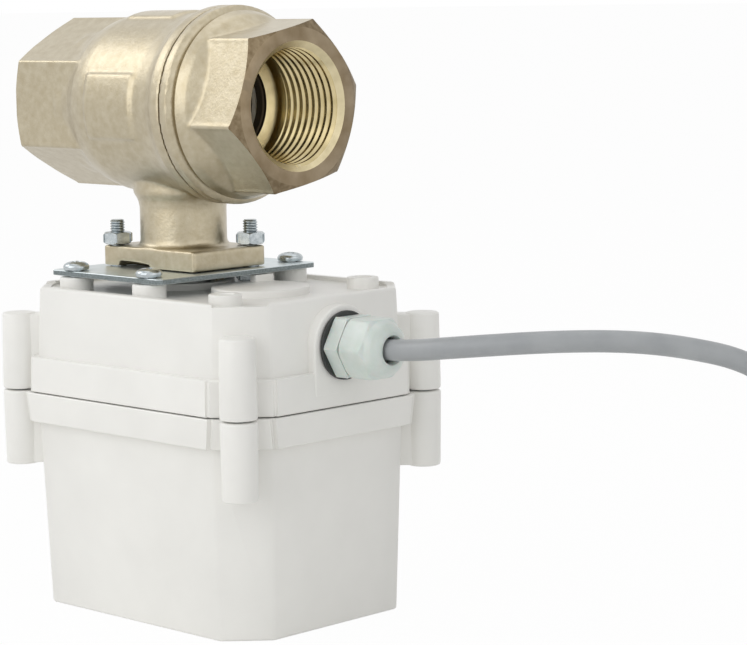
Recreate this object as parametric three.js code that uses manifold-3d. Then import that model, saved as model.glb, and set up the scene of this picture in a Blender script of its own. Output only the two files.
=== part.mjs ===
// Motorized ball valve: a two-piece brass ball valve with G 1 ports, and a quarter-turn gear motor bolted below it.
// Millimetres, +Z up. X runs along the pipe, with the end cap and the cable at +X. The stem turns about the Z axis,
// and z = 0 is the flat bottom of the actuator's case.
import * as THREE from 'three';
import { mergeVertices } from 'three/addons/utils/BufferGeometryUtils.js';
import Module from 'manifold-3d';

const wasm = await Module();
wasm.setup();

// Fits and facets. A joined shape sinks into the one that carries it, and a cutter overruns what it cuts.
const gap = 0.3;
const sink = 0.5;
const overrun = 3;
const roundSides = 28;
const boreSides = 24;
const middleSides = 20;
const smallSides = 12;
const quarterTurn = Math.PI / 2;
const degrees = Math.PI / 180;

// Valve body. Places named X are measured along the pipe from the stem's axis.
const faceToAxis = 45.8;
const axisAboveFlange = 43.9;
const threadMajorRadius = 33.249 / 2;
const threadMinorRadius = 30.291 / 2;
const threadPitch = 2.309;
const threadTurns = 8;
const threadLeadIn = 1.85;
const mouthClearance = 0.33;
const reliefDepth = 0.28;
const reliefLength = 1.8;
const portRadius = 12.5;
const endFaceWidth = 3.4;
const endChamferAngle = 30 * degrees;
const bodyHexWall = 3.55;
const shoulderRootX = -25.8;
const shoulderRidgeX = -18;
const barrelFarX = -12.5;
const barrelNearX = 9.4;
const barrelWall = 2.5;
const swellX = 13.75;
const swellProud = 0.5;
const flangeProud = 1.9;
const bodyFlangeWidth = 3.1;
const seamX = 20.6;
const padProud = 0.7;
const padFarX = -11;
const padNearX = 7.4;
const padHalfWidth = 8.6;
const neckRadius = 11.8;
const cavityClearance = 1.3;
const cavityHalfLength = 11.5;

// End cap
const capHexWall = 3.81;
const capHexTurn = 78.5 * degrees;
const capHexLength = 19.8;
const capFlangeThickness = 3.9;
const capEdge = 0.6;
const capShoulderDrop = 1;
const capShoulderLength = 4;
const capBlendLength = 7.6;
const capSpigotStep = 1.3;
const capSpigotLength = 7.5;
const capSealWidth = 1;

// Ball and seats
const ballLand = 6.5;
const seatWidth = 4.2;
const seatThickness = 1.8;
const seatClearance = 0.4;

// Stem
const stemRadius = 5.8;
const stemSquare = 8;
const stemSquareLength = 17.7;
const stemCollarRadius = 7.6;
const stemCollarHeight = 2.6;
const collarBelowBall = 1.7;
const tangThickness = 5;
const tangWidth = 11;
const tangHeight = 3.3;
const sealGrooveRadius = 4.1;
const sealGrooveWidth = 2;
const lowerSealRise = 9.5;
const sealSpacing = 5;
const thrustWasherHeight = 0.8;

// Mounting flange of the valve, adapter plate and their fasteners
const flangeBlockX = 18.15;
const flangeBlockY = 12.8;
const flangeBlockHeight = 5.5;
const flangeBlockCorner = 1;
const flangeSlotFarX = -12.4;
const flangeSlotLength = 12.7;
const flangeSlotDepth = 5;
const flangeSlotHeight = 1.3;
const flangeBoltX = 15.2;
const flangeBoltY = 10.6;
const boltAboveNut = 3.4;
const boltHeadHeight = 2.2;
const nutAcrossFlats = 7;
const nutHeight = 3.2;
const screwShankRadius = 2;
const plateX = 22.4;
const plateEdge = 2.9;
const plateThickness = 1.4;
const plateCornerCut = 1.2;
const plateHoleRadius = 9.5;
const plateScrewX = 14.9;
const plateScrewFromSide = 7.85;
const plateScrewLength = 10;
const panHeadRadius = 3.55;
const panHeadHeight = 2.2;
const crossWidth = 0.8;
const crossSpan = 4;
const crossDepth = 1.2;

// Actuator case: two shells that meet at the parting, each with a proud band along it
const caseLeft = -31.55;
const caseRight = 57.7;
const caseHalfWidth = 33.55;
const caseChamfer = 10.5;
const lowerShellHeight = 58.5;
const upperShellHeight = 28.4;
const wall = 2.5;
const rimDepth = 1.2;
const rimWidth = 2.2;
const chamferRimDrop = 0.7;
const draftToParting = 1.2;
const draftToBottom = -1.03;
const upperBandProud = 2;
const upperBandHeight = 9.45;
const lowerBandProud = 2.5;
const lowerBandHeight = 7.95;
const chamferBandExtra = 0.9;
const bandTaper = 0.3;
const gasketWidth = 1.4;
const gasketDepth = 1.6;

// Corner posts and case screws
const postLeftInset = 1.3;
const postRightInset = 0.7;
const postOutset = 0.15;
const postBelowRim = 7.5;
const postBelowParting = 20.5;
const postRadius = 4.85;
const postTipRadius = 4.55;
const postEdge = 0.5;
const postWebWidth = 6.4;
const postWebLength = 9.7;
const caseScrewHeadRadius = 3.4;
const caseScrewHeadHeight = 2.4;
const counterboreDepth = 5;
const caseScrewBelowPostTop = 9.4;

// Raised details on the top, and the bosses that reach down inside
const plateBossRadius = 4.5;
const plateBossHeight = 3.7;
const plateBossDepth = 4.2;
const discX = 30;
const discRadius = 13.1;
const discHeight = 1.9;
const discRibX = 20;
const discRibWidth = 2.4;
const discRibY = 5.6;
const discRibLength = 6.6;
const gearBossFromRight = 14.2;
const gearBossFromLeft = 9.05;
const gearBossNearInset = 8.55;
const gearBossFarInset = 10.55;
const gearBossRadius = 4.3;
const gearBossHeight = 3;
const axleBossClearance = 2.2;
const hubClearance = 6;
const hubRise = 1.8;
const bushThickness = 2;
const bushDepth = 6;
const bushRise = 1.5;

// Gear train: the plate that carries it hangs a little below the parting. The teeth fill the axles' distances
const outputTeeth = 44;
const pinionTeeth = 11;
const wheelTeeth = 36;
const motorTeeth = 10;
const middleFromBoard = 25.41;
const middleOffset = 9;
const motorFromBoard = 20.44;
const motorFromSide = 20.1;
const gearPlateBelowParting = 2.3;
const gearPlateThickness = 1.6;
const gearPlateEdge = 3.5;
const gearPlateCorner = 2;
const gearPlateNotchDepth = 4;
const gearPlateNotchHalfWidth = 8.6;
const wheelRise = 1.2;
const wheelHeight = 3.2;
const outputGearRise = 1.8;
const outputGearHeight = 6;
const shaftStepRise = 3;
const shaftJournalRadius = 8.5;
const shaftGearRadius = 6.5;
const shaftTailRadius = 5;
const shaftTailLength = 7;
const axleRadius = 2;
const axleBelowCeiling = 4.2;
const gearScrewRadius = 1.5;
const gearScrewHeadRadius = 2.7;
const gearScrewHeadHeight = 2;
const gearScrewLength = 8;

// Gear motor, cam and limit switches
const gearheadRadius = 14;
const gearheadLength = 18;
const gearheadSpigotRadius = 6;
const gearheadWall = 1.5;
const lastWheelHeight = 5;
const motorRadius = 12;
const motorRise = 12;
const motorCapRadius = 4;
const motorCapLength = 2;
const motorShaftDepth = 10;
const motorShaftRise = 1;
const camRadius = 8.4;
const camReach = 11;
const camLobeWidth = 6.8;
const camHeight = 6.4;
const switchStandOff = 1.6;
const switchDepth = 10;
const switchWidth = 20;
const switchButtonWidth = 2.8;
const switchButtonInset = 2;

// Circuit board and what it carries
const boardFromFace = 6.3;
const boardThickness = 1.6;
const boardFromSide = 14.05;
const boardRise = 8;
const boardBelowPlate = 8.2;
const railGrip = 2;
const railThickness = 2.2;
const railBelowBoardTop = 6;
const relayLength = 8;
const relayWidth = 13;
const relayBelowTerminal = 7.4;
const relayRise = 2;
const capacitorRadius = 3.9;
const capacitorLength = 7;
const capacitorY = 6;
const capacitorRise = 12;
const terminalLength = 7.5;
const terminalWidth = 12;
const terminalHeight = 9.6;
const terminalBelowBoardTop = 1;
const terminalWall = 1;
const terminalSlot = 5;
const terminalSlotDepth = 6;

// Cable gland
const glandBelowCeiling = 8.8;
const glandPadRadius = 10.5;
const glandPadDepth = 6;
const glandAcrossFlats = 16;
const glandWasherRadius = 8.95;
const glandWasherThickness = 0.9;
const glandFlangeLength = 4.3;
const glandThreadRadius = 6.2;
const glandThreadLength = 11.5;
const glandNoseLength = 6.4;
const glandSealTail = 4;
const glandSealWidth = 2;
const lockNutLength = 4.3;
const domeHexLength = 7.9;
const domeLength = 3.4;
const domeNeckRadius = 6.6;
const domeBulgeRadius = 7.4;
const domeTipRadius = 4.8;
const domeHoleRadius = 3.42;
const domeLipLength = 3.9;

// Cable, its coil and its stripped ends
const cableRadius = 2.75;
const cableSides = 10;
const cableSteps = 22;
const sheathInset = 3.4;
const cableHeading = 44 * degrees;
const leaveSlope = 17 * degrees;
const dropSlope = 86 * degrees;
const shoulderBend = 24;
const floorBend = 22.5;
const layLength = 2.5;
const coilRadius = 30.6;
const coilPitch = 6;
const coilLayerRise = 5.95;
const coilTurns = 1.5;
const coilStepsPerTurn = 24;
const coilSides = 6;
const coreRadius = 0.65;
const coreLength = 25;
const coreSpread = 2.6;
const leadRadius = 1.5;

// Radii of the valve, from the port and the thread outwards
const hexShare = 1 / Math.cos(Math.PI / 6);
const ballRadius = portRadius + ballLand;
const cavityRadius = ballRadius + cavityClearance;
const capSpigotRadius = cavityRadius + capSpigotStep;
const barrelRadius = capSpigotRadius + gap + barrelWall;
const swellRadius = barrelRadius + swellProud;
const padRadius = barrelRadius + padProud;
const flangeRadius = barrelRadius + flangeProud;
const capShoulderRadius = barrelRadius - capShoulderDrop;
const mouthRadius = threadMajorRadius + mouthClearance;
const reliefRadius = threadMajorRadius + reliefDepth;
const endFaceRadius = threadMajorRadius + endFaceWidth;
const bodyHexRadius = (threadMajorRadius + bodyHexWall) * hexShare;
const capHexRadius = (threadMajorRadius + capHexWall) * hexShare;
const seatFollowRadius = ballRadius + seatClearance;
const seatBackX = Math.sqrt(seatFollowRadius ** 2 - (portRadius + gap) ** 2) + seatThickness + gap;

// Heights, stacked up from the bottom of the case
const partingHeight = lowerShellHeight;
const rimHeight = partingHeight + upperShellHeight;
const topFloorHeight = rimHeight - rimDepth;
const ceilingHeight = topFloorHeight - wall;
const plateBottom = topFloorHeight + plateBossHeight + gap;
const plateTop = plateBottom + plateThickness;
const blockBottom = plateTop + gap;
const blockTop = blockBottom + flangeBlockHeight;
const pipeHeight = blockBottom + axisAboveFlange;
const collarTop = pipeHeight - ballRadius - collarBelowBall;
const collarBottom = collarTop - stemCollarHeight;
const tangTop = collarTop + tangHeight;
const stemBottom = plateBottom - stemSquareLength;
const sealHeights = [blockBottom + lowerSealRise, blockBottom + lowerSealRise + sealSpacing];
const gearPlateBottom = partingHeight - gearPlateBelowParting;
const gearPlateTop = gearPlateBottom + gearPlateThickness;
const wheelBottom = gearPlateTop + wheelRise;
const wheelTop = wheelBottom + wheelHeight;
const outputGearBottom = wheelTop + outputGearRise;
const outputGearTop = outputGearBottom + outputGearHeight;
const axleTop = ceilingHeight - axleBelowCeiling;
const postTop = rimHeight - postBelowRim;
const postBottom = partingHeight - postBelowParting;
const caseScrewTop = postTop - caseScrewBelowPostTop;
const glandHeight = ceilingHeight - glandBelowCeiling;
const axleBossBottom = outputGearTop + axleBossClearance;
const hubBottom = outputGearTop + hubClearance;

// Radii and places that several pieces share
const seatRadius = portRadius + seatWidth + gap;
const bushRadius = shaftJournalRadius + gap + bushThickness;
const hubRadius = bushRadius + gap + wall;
const plateScrewY = caseHalfWidth - plateScrewFromSide;
const plateY = plateScrewY + plateEdge;
const boardX = caseRight - boardFromFace;
const middleX = boardX - middleFromBoard;
const middleY = -middleOffset;
const middleGearAngle = Math.atan2(middleY, middleX);
const outputModule = (2 * Math.hypot(middleX, middleY)) / (outputTeeth + pinionTeeth);
const motorX = boardX - motorFromBoard;
const motorY = caseHalfWidth - motorFromSide;
const motorAngle = Math.atan2(motorY - middleY, motorX - middleX);
const motorModule = (2 * Math.hypot(motorX - middleX, motorY - middleY)) / (wheelTeeth + motorTeeth);
const motorShaftShare = 0.4;
const motorShaftRadius = (motorShaftShare * motorTeeth * motorModule) / 2;
const gearBossNearX = caseRight - gearBossFromRight;
const gearBossNearY = caseHalfWidth - gearBossNearInset;
const gearBossFarX = caseLeft + gearBossFromLeft;
const gearBossFarY = caseHalfWidth - gearBossFarInset;
const gearBosses = [[gearBossNearX, -gearBossNearY], [gearBossNearX, gearBossNearY],
  [gearBossFarX, gearBossFarY], [gearBossFarX, -gearBossFarY]];
const corners = [[-1, -1], [1, -1], [1, 1], [-1, 1]];
const sides = { left: -1, right: 1 };
const boardHalfWidth = caseHalfWidth - boardFromSide;
const boardBottom = boardRise;
const boardTop = gearPlateBottom - boardBelowPlate;
const grooveMiddle = draftToParting + (lowerBandProud - wall) / 2;
const padFront = caseRight + draftToParting + upperBandProud;

// Each piece gets a material of its own
function finish(colour, metalness, roughness) {
  return new THREE.MeshStandardMaterial({ color: colour, metalness, roughness });
}
const nickelBrass = () => finish(0xb9a47c, 0.9, 0.42);
const bareBrass = () => finish(0xc9a45a, 0.9, 0.35);
const brightChrome = () => finish(0xc8ccd0, 1, 0.12);
const zincSteel = () => finish(0xa9b0b2, 0.9, 0.38);
const sinteredSteel = () => finish(0x8d9094, 0.9, 0.5);
const whitePlastic = () => finish(0xe6e5e0, 0, 0.45);
const paleNylon = () => finish(0xdfe6e3, 0, 0.4);
const paleAcetal = () => finish(0xe9e4d6, 0, 0.4);
const darkPlastic = () => finish(0x26282a, 0, 0.5);
const blackRubber = () => finish(0x3a3d3d, 0, 0.75);
const whiteSeal = () => finish(0xefefeb, 0, 0.5);
const boardGreen = () => finish(0x2f6b3f, 0, 0.5);
const terminalGreen = () => finish(0x3f7f52, 0, 0.5);
const relayBlue = () => finish(0x2b55a0, 0, 0.4);
const cableGrey = () => finish(0xa2a5a7, 0, 0.5);
const leadGrey = () => finish(0x55585b, 0, 0.5);

// Closed three.js geometry in and out of the boolean library
function solidOf(source) {
  const bare = source.clone();
  for (const name of Object.keys(bare.attributes)) {
    if (name !== 'position') bare.deleteAttribute(name);
  }
  const merged = mergeVertices(bare, 1e-5);
  const place = merged.attributes.position;
  const kept = [];
  let volume = 0;
  const [a, b, c] = [new THREE.Vector3(), new THREE.Vector3(), new THREE.Vector3()];
  for (let i = 0; i < merged.index.count; i += 3) {
    const ids = [merged.index.getX(i), merged.index.getX(i + 1), merged.index.getX(i + 2)];
    if (ids[0] === ids[1] || ids[1] === ids[2] || ids[2] === ids[0]) continue;
    kept.push(ids);
    a.fromBufferAttribute(place, ids[0]);
    b.fromBufferAttribute(place, ids[1]);
    c.fromBufferAttribute(place, ids[2]);
    volume += a.dot(b.cross(c));
  }
  const triVerts = kept.map((ids) => (volume < 0 ? [ids[0], ids[2], ids[1]] : ids)).flat();
  return new wasm.Manifold(new wasm.Mesh({
    numProp: 3,
    vertProperties: new Float32Array(place.array),
    triVerts: new Uint32Array(triVerts),
  }));
}

function geometryOf(solid) {
  const mesh = solid.getMesh();
  const geometry = new THREE.BufferGeometry();
  geometry.setAttribute('position', new THREE.BufferAttribute(new Float32Array(mesh.vertProperties), 3));
  geometry.setIndex(new THREE.BufferAttribute(new Uint32Array(mesh.triVerts), 1));
  geometry.computeVertexNormals();
  return geometry;
}

const join = (...solids) => solids.reduce((whole, next) => whole.add(next));
const cut = (solid, ...cutters) => cutters.reduce((rest, next) => rest.subtract(next), solid);
const moved = (solid, x, y, z = 0) => solid.translate([x, y, z]);

// Lays a piece made along Z along X instead, at the given height
const alongX = (solid, height) => solid.rotate([0, 90, 0]).translate([0, 0, height]);

function block(x0, x1, y0, y1, z0, z1) {
  const geometry = new THREE.BoxGeometry(x1 - x0, y1 - y0, z1 - z0);
  geometry.translate((x0 + x1) / 2, (y0 + y1) / 2, (z0 + z1) / 2);
  return solidOf(geometry);
}

function prism(points, z0, z1) {
  const shape = new THREE.Shape(points.map(([x, y]) => new THREE.Vector2(x, y)));
  const geometry = new THREE.ExtrudeGeometry(shape, { depth: z1 - z0, bevelEnabled: false });
  geometry.translate(0, 0, z0);
  return solidOf(geometry);
}

// A turned piece about Z: its profile of [radius, height] starts and ends on the axis, or closes on itself
function turned(profile, facets = roundSides) {
  const points = profile.map(([radius, height]) => new THREE.Vector2(radius, height));
  const geometry = new THREE.LatheGeometry(points, facets);
  geometry.rotateX(quarterTurn);
  return solidOf(geometry);
}

const rod = (radius, z0, z1, facets = roundSides) => turned([[0, z0], [radius, z0], [radius, z1], [0, z1]], facets);
const tube = (inner, outer, z0, z1, facets = roundSides) => turned(
  [[inner, z0], [outer, z0], [outer, z1], [inner, z1], [inner, z0]],
  facets,
);
const hole = (radius, z0, z1, facets = smallSides) => rod(radius + gap, z0 - overrun, z1 + overrun, facets);

function regular(count, radius, turn) {
  return Array.from({ length: count }, (_, i) => {
    const angle = turn + (i * 2 * Math.PI) / count;
    return [radius * Math.cos(angle), radius * Math.sin(angle)];
  });
}

// Joins flat convex outlines of the same point count into one closed skin
function loft(outlines) {
  const count = outlines[0].points.length;
  const positions = outlines.flatMap(({ points, z }) => points.flatMap(([x, y]) => [x, y, z]));
  const index = [];
  for (let ring = 0; ring + 1 < outlines.length; ring += 1) {
    for (let i = 0; i < count; i += 1) {
      const next = (i + 1) % count;
      const low = ring * count;
      const high = low + count;
      index.push(low + i, low + next, high + next, low + i, high + next, high + i);
    }
  }
  const last = (outlines.length - 1) * count;
  for (let i = 1; i + 1 < count; i += 1) index.push(0, i + 1, i, last, last + i, last + i + 1);
  return solidOf(closedGeometry(positions, index));
}

function closedGeometry(positions, index) {
  const geometry = new THREE.BufferGeometry();
  geometry.setAttribute('position', new THREE.Float32BufferAttribute(positions, 3));
  geometry.setIndex(index);
  return geometry;
}

// A round tube swept along a smooth curve through points in space
function sweptTube(points, radius, facets, steps) {
  const curve = new THREE.CatmullRomCurve3(points, false, 'centripetal');
  curve.arcLengthDivisions = steps * 20;
  const ring = regular(facets, radius, Math.PI / facets).map(([x, y]) => new THREE.Vector2(x, y));
  return solidOf(new THREE.ExtrudeGeometry(new THREE.Shape(ring), { steps, extrudePath: curve, bevelEnabled: false }));
}

const valve = new THREE.Group();
function piece(name, solid, material) {
  const mesh = new THREE.Mesh(geometryOf(solid), material);
  mesh.name = name;
  valve.add(mesh);
}

// Cutter for a threaded port, along Z into an end face at z = 0: mouth, thread, relief and the way through
function portCutter() {
  const profile = [[0, -overrun], [mouthRadius, -overrun], [mouthRadius, 0], [threadMinorRadius, threadLeadIn]];
  let z = threadLeadIn;
  for (let turn = 0; turn < threadTurns; turn += 1) {
    profile.push([threadMajorRadius, z + threadPitch / 2], [threadMinorRadius, z + threadPitch]);
    z += threadPitch;
  }
  profile.push([reliefRadius, z + gap], [reliefRadius, z + reliefLength], [portRadius, z + reliefLength + gap],
    [portRadius, faceToAxis], [0, faceToAxis]);
  return turned(profile, boreSides);
}

// Hexagonal end with its corners turned off at the face, from an end face at z = 0 towards +Z
function hexEnd(radius, turn, length) {
  const outer = radius + gap;
  const cornerLength = (outer - endFaceRadius) * Math.tan(endChamferAngle);
  const cone = turned([[0, 0], [endFaceRadius, 0], [outer, cornerLength], [outer, length], [0, length]]);
  return cone.intersect(prism(regular(6, radius, turn), -overrun, length + overrun));
}

// Valve body, open at its near end for the ball
function makeValveBody() {
  const farHex = moved(alongX(hexEnd(bodyHexRadius, 0, faceToAxis + barrelFarX), pipeHeight), -faceToAxis, 0);
  const barrel = alongX(turned([[0, shoulderRootX - overrun], [endFaceRadius, shoulderRootX - overrun],
    [endFaceRadius, shoulderRootX], [bodyHexRadius, shoulderRidgeX], [barrelRadius, barrelFarX],
    [barrelRadius, barrelNearX], [swellRadius, swellX], [flangeRadius, seamX - bodyFlangeWidth],
    [flangeRadius, seamX], [0, seamX]]), pipeHeight);
  const ring = tube(barrelRadius - sink, padRadius, padFarX, padNearX);
  const padBlank = block(0, padRadius + overrun, -padHalfWidth, padHalfWidth, padFarX - overrun, padNearX + overrun);
  const pads = [-90, 90, 180].map((turn) => alongX(ring.intersect(padBlank.rotate([0, 0, turn])), pipeHeight));
  const neck = rod(neckRadius, blockBottom + sink, pipeHeight - ballRadius);
  const flangeOutline = corners.flatMap(([sx, sy]) => {
    const along = [sx * (flangeBlockX - flangeBlockCorner), sy * flangeBlockY];
    const across = [sx * flangeBlockX, sy * (flangeBlockY - flangeBlockCorner)];
    return sx * sy > 0 ? [across, along] : [along, across];
  });
  const flange = prism(flangeOutline, blockBottom, blockTop);
  const farPort = moved(alongX(portCutter(), pipeHeight), -faceToAxis, 0);
  const farSeat = alongX(rod(seatRadius, -seatBackX, 0, boreSides), pipeHeight);
  const cavity = alongX(rod(cavityRadius, -cavityHalfLength, seamX + overrun), pipeHeight);
  const sealShoulderX = seamX - capSpigotLength - capSealWidth - 2 * gap;
  const capBore = alongX(rod(capSpigotRadius + gap, sealShoulderX, seamX + overrun), pipeHeight);
  const stemBore = hole(stemRadius, blockBottom, collarTop, middleSides);
  const collarSeat = collarBottom - thrustWasherHeight - 2 * gap;
  const collarBore = rod(stemCollarRadius + gap, collarSeat, pipeHeight - ballRadius + overrun, middleSides);
  const boltHoles = Object.values(sides).map((side) => moved(
    hole(screwShankRadius, blockBottom, blockTop),
    side * flangeBoltX,
    side * flangeBoltY,
  ));
  const slot = block(flangeSlotFarX, flangeSlotFarX + flangeSlotLength, -flangeBlockY - overrun,
    -flangeBlockY + flangeSlotDepth, blockBottom - overrun, blockBottom + flangeSlotHeight);
  return cut(join(farHex, barrel, ...pads, neck, flange), farPort, farSeat, cavity, capBore, stemBore, collarBore,
    ...boltHoles, slot);
}
piece('valve_body', makeValveBody(), nickelBrass());

// End cap: its spigot closes the body's near end and carries a seat
function makeEndCap() {
  const ringFront = seamX + capFlangeThickness;
  const outside = alongX(turned([[0, seamX - capSpigotLength], [capSpigotRadius, seamX - capSpigotLength],
    [capSpigotRadius, seamX + gap], [flangeRadius, seamX + gap], [flangeRadius, ringFront - capEdge],
    [flangeRadius - 2 * capEdge, ringFront], [capShoulderRadius, ringFront + capShoulderLength],
    [endFaceRadius, ringFront + capBlendLength], [0, ringFront + capBlendLength]]), pipeHeight);
  const facingOut = (solid) => moved(alongX(solid.rotate([180, 0, 0]), pipeHeight), faceToAxis, 0);
  const seatPocket = alongX(rod(seatRadius, 0, seatBackX, boreSides), pipeHeight);
  return cut(join(facingOut(hexEnd(capHexRadius, capHexTurn, capHexLength)), outside), facingOut(portCutter()),
    seatPocket);
}
piece('end_cap', makeEndCap(), nickelBrass());
const capSealX = seamX - capSpigotLength - gap;
piece('cap_seal', alongX(tube(cavityRadius + gap, capSpigotRadius, capSealX - capSealWidth, capSealX), pipeHeight),
  whiteSeal());

// Ball: its bore lies along the pipe at rest, and the stem's tang turns it by a slot underneath
function makeBall() {
  const sphere = solidOf(new THREE.SphereGeometry(ballRadius, roundSides, roundSides / 2));
  const bore = rod(portRadius, -ballRadius - overrun, ballRadius + overrun, boreSides).rotate([0, 90, 0]);
  const half = tangThickness / 2 + gap;
  const slotTop = tangTop + gap - pipeHeight;
  const slot = block(-half, half, -ballRadius, ballRadius, -ballRadius - overrun, slotTop);
  return moved(cut(sphere, bore, slot), 0, 0, pipeHeight);
}
piece('ball', makeBall(), brightChrome());

// Seat rings: each has a face that follows the ball, and stands in a pocket
function makeSeat(turn) {
  const widthShares = [0, 1 / 3, 2 / 3, 1];
  const face = widthShares.map((share) => {
    const radius = portRadius + gap + share * (seatWidth - gap);
    return [radius, Math.sqrt(seatFollowRadius ** 2 - radius ** 2)];
  });
  const back = seatBackX - gap;
  const ring = turned([...face, [portRadius + seatWidth, back], [portRadius + gap, back], face[0]], boreSides);
  return alongX(ring.rotate([turn, 0, 0]), pipeHeight);
}
piece('seat_ring_near', makeSeat(0), whiteSeal());
piece('seat_ring_far', makeSeat(180), whiteSeal());

// Stem: square foot for the actuator, sealed shaft, thrust collar and the tang that turns the ball
function makeStem() {
  const halfGroove = sealGrooveWidth / 2;
  const grooves = sealHeights.map((height) => tube(sealGrooveRadius, stemRadius + overrun, height - halfGroove,
    height + halfGroove, middleSides));
  const shaft = rod(stemRadius, plateBottom, collarBottom + sink, middleSides);
  const half = stemSquare / 2;
  const foot = block(-half, half, -half, half, stemBottom, plateBottom + sink);
  const collar = rod(stemCollarRadius, collarBottom, collarTop, middleSides);
  const tang = block(-tangThickness / 2, tangThickness / 2, -tangWidth / 2, tangWidth / 2, collarTop - sink, tangTop);
  return join(cut(shaft, ...grooves), foot, collar, tang);
}
piece('stem', makeStem(), bareBrass());
const sealSection = (stemRadius - gap - sealGrooveRadius) / 2;
function makeStemSeal(height) {
  const ring = new THREE.TorusGeometry(sealGrooveRadius + gap + sealSection, sealSection, 6, smallSides + 4);
  return moved(solidOf(ring), 0, 0, height);
}
piece('stem_seal_lower', makeStemSeal(sealHeights[0]), blackRubber());
piece('stem_seal_upper', makeStemSeal(sealHeights[1]), blackRubber());
piece('thrust_washer', tube(stemRadius + gap, stemCollarRadius, collarBottom - gap - thrustWasherHeight,
  collarBottom - gap, middleSides), whiteSeal());

// Adapter plate between the valve's flange and the case
function makeAdapterPlate() {
  const outline = corners.flatMap(([sx, sy]) => {
    const along = [sx * (plateX - plateCornerCut), sy * plateY];
    const across = [sx * plateX, sy * (plateY - plateCornerCut)];
    return sx * sy > 0 ? [across, along] : [along, across];
  });
  const drill = hole(screwShankRadius, plateBottom, plateTop);
  const boltHoles = Object.values(sides).map((side) => moved(drill, side * flangeBoltX, side * flangeBoltY));
  const screwHoles = corners.map(([sx, sy]) => moved(drill, sx * plateScrewX, sy * plateScrewY));
  const middle = rod(plateHoleRadius, plateBottom - overrun, plateTop + overrun, boreSides);
  return cut(prism(outline, plateBottom, plateTop), middle, ...boltHoles, ...screwHoles);
}
piece('adapter_plate', makeAdapterPlate(), zincSteel());

// Bolts and nuts that hold the valve's flange on the plate
const nutRadius = nutAcrossFlats / Math.sqrt(3);
const nutTurn = 15 * degrees;
function makeFlangeNut() {
  const nutBottom = blockTop + gap;
  return cut(prism(regular(6, nutRadius, nutTurn), nutBottom, nutBottom + nutHeight),
    hole(screwShankRadius, nutBottom, nutBottom + nutHeight));
}
function makeFlangeBolt() {
  const headTop = plateBottom - gap;
  const boltTop = blockTop + gap + nutHeight + boltAboveNut;
  return join(prism(regular(6, nutRadius, 0), headTop - boltHeadHeight, headTop),
    rod(screwShankRadius, headTop - sink, boltTop, smallSides));
}
for (const [name, side] of Object.entries(sides)) {
  piece(`flange_bolt_${name}`, moved(makeFlangeBolt(), side * flangeBoltX, side * flangeBoltY), zincSteel());
  piece(`flange_nut_${name}`, moved(makeFlangeNut(), side * flangeBoltX, side * flangeBoltY), zincSteel());
}

// Pan-head screws that hold the plate on the bosses of the case
function makePlateScrew() {
  const headBottom = plateTop + gap;
  const headTop = headBottom + panHeadHeight;
  const headShares = [[0, 0], [1, 0], [1, 0.3], [0.8, 0.8], [0.4, 1], [0, 1]];
  const head = turned(headShares.map(([out, up]) => [out * panHeadRadius, headBottom + up * panHeadHeight]), smallSides);
  const long = crossSpan / 2;
  const thin = crossWidth / 2;
  const cross = join(block(-long, long, -thin, thin, headTop - crossDepth, headTop + overrun),
    block(-thin, thin, -long, long, headTop - crossDepth, headTop + overrun));
  return join(cut(head, cross), rod(screwShankRadius, headBottom - plateScrewLength, headBottom + sink, smallSides));
}
corners.forEach(([sx, sy], i) => {
  piece(`plate_screw_${i + 1}`, moved(makePlateScrew(), sx * plateScrewX, sy * plateScrewY), zincSteel());
});

// Outline of the case: a rectangle with cut corners, grown evenly, or by another amount at the cut corners
function caseOutline(grow, chamferGrow = grow) {
  const x0 = caseLeft - grow;
  const x1 = caseRight + grow;
  const y1 = caseHalfWidth + grow;
  const leg = caseChamfer + 2 * grow - Math.SQRT2 * chamferGrow;
  return [[x0 + leg, -y1], [x1 - leg, -y1], [x1, -y1 + leg], [x1, y1 - leg],
    [x1 - leg, y1], [x0 + leg, y1], [x0, y1 - leg], [x0, -y1 + leg]];
}
const outlineAt = (grow, z, chamferGrow = grow) => ({ points: caseOutline(grow, chamferGrow), z });
const caseMiddleX = (caseLeft + caseRight) / 2;
const postPlaces = corners.map(([sx, sy]) => [
  sx < 0 ? caseLeft + postLeftInset : caseRight - postRightInset,
  sy * (caseHalfWidth + postOutset),
]);

// Corner post with its web back to the cut corner of the wall
function cornerPost([x, y], z0, z1, lowRadius, highRadius) {
  const post = turned([[0, z0], [lowRadius - postEdge, z0], [lowRadius, z0 + postEdge], [highRadius, z1 - postEdge],
    [highRadius - postEdge, z1], [0, z1]], smallSides + 2);
  const inward = Math.atan2(-Math.sign(y), Math.sign(caseMiddleX - x)) / degrees;
  const web = block(0, postWebLength, -postWebWidth / 2, postWebWidth / 2, z0 + gap, z1 - gap);
  return moved(join(post, web.rotate([0, 0, inward])), x, y);
}

const upperShellBottom = partingHeight + gap / 2;
const lowerShellTop = partingHeight - gap / 2;

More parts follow.
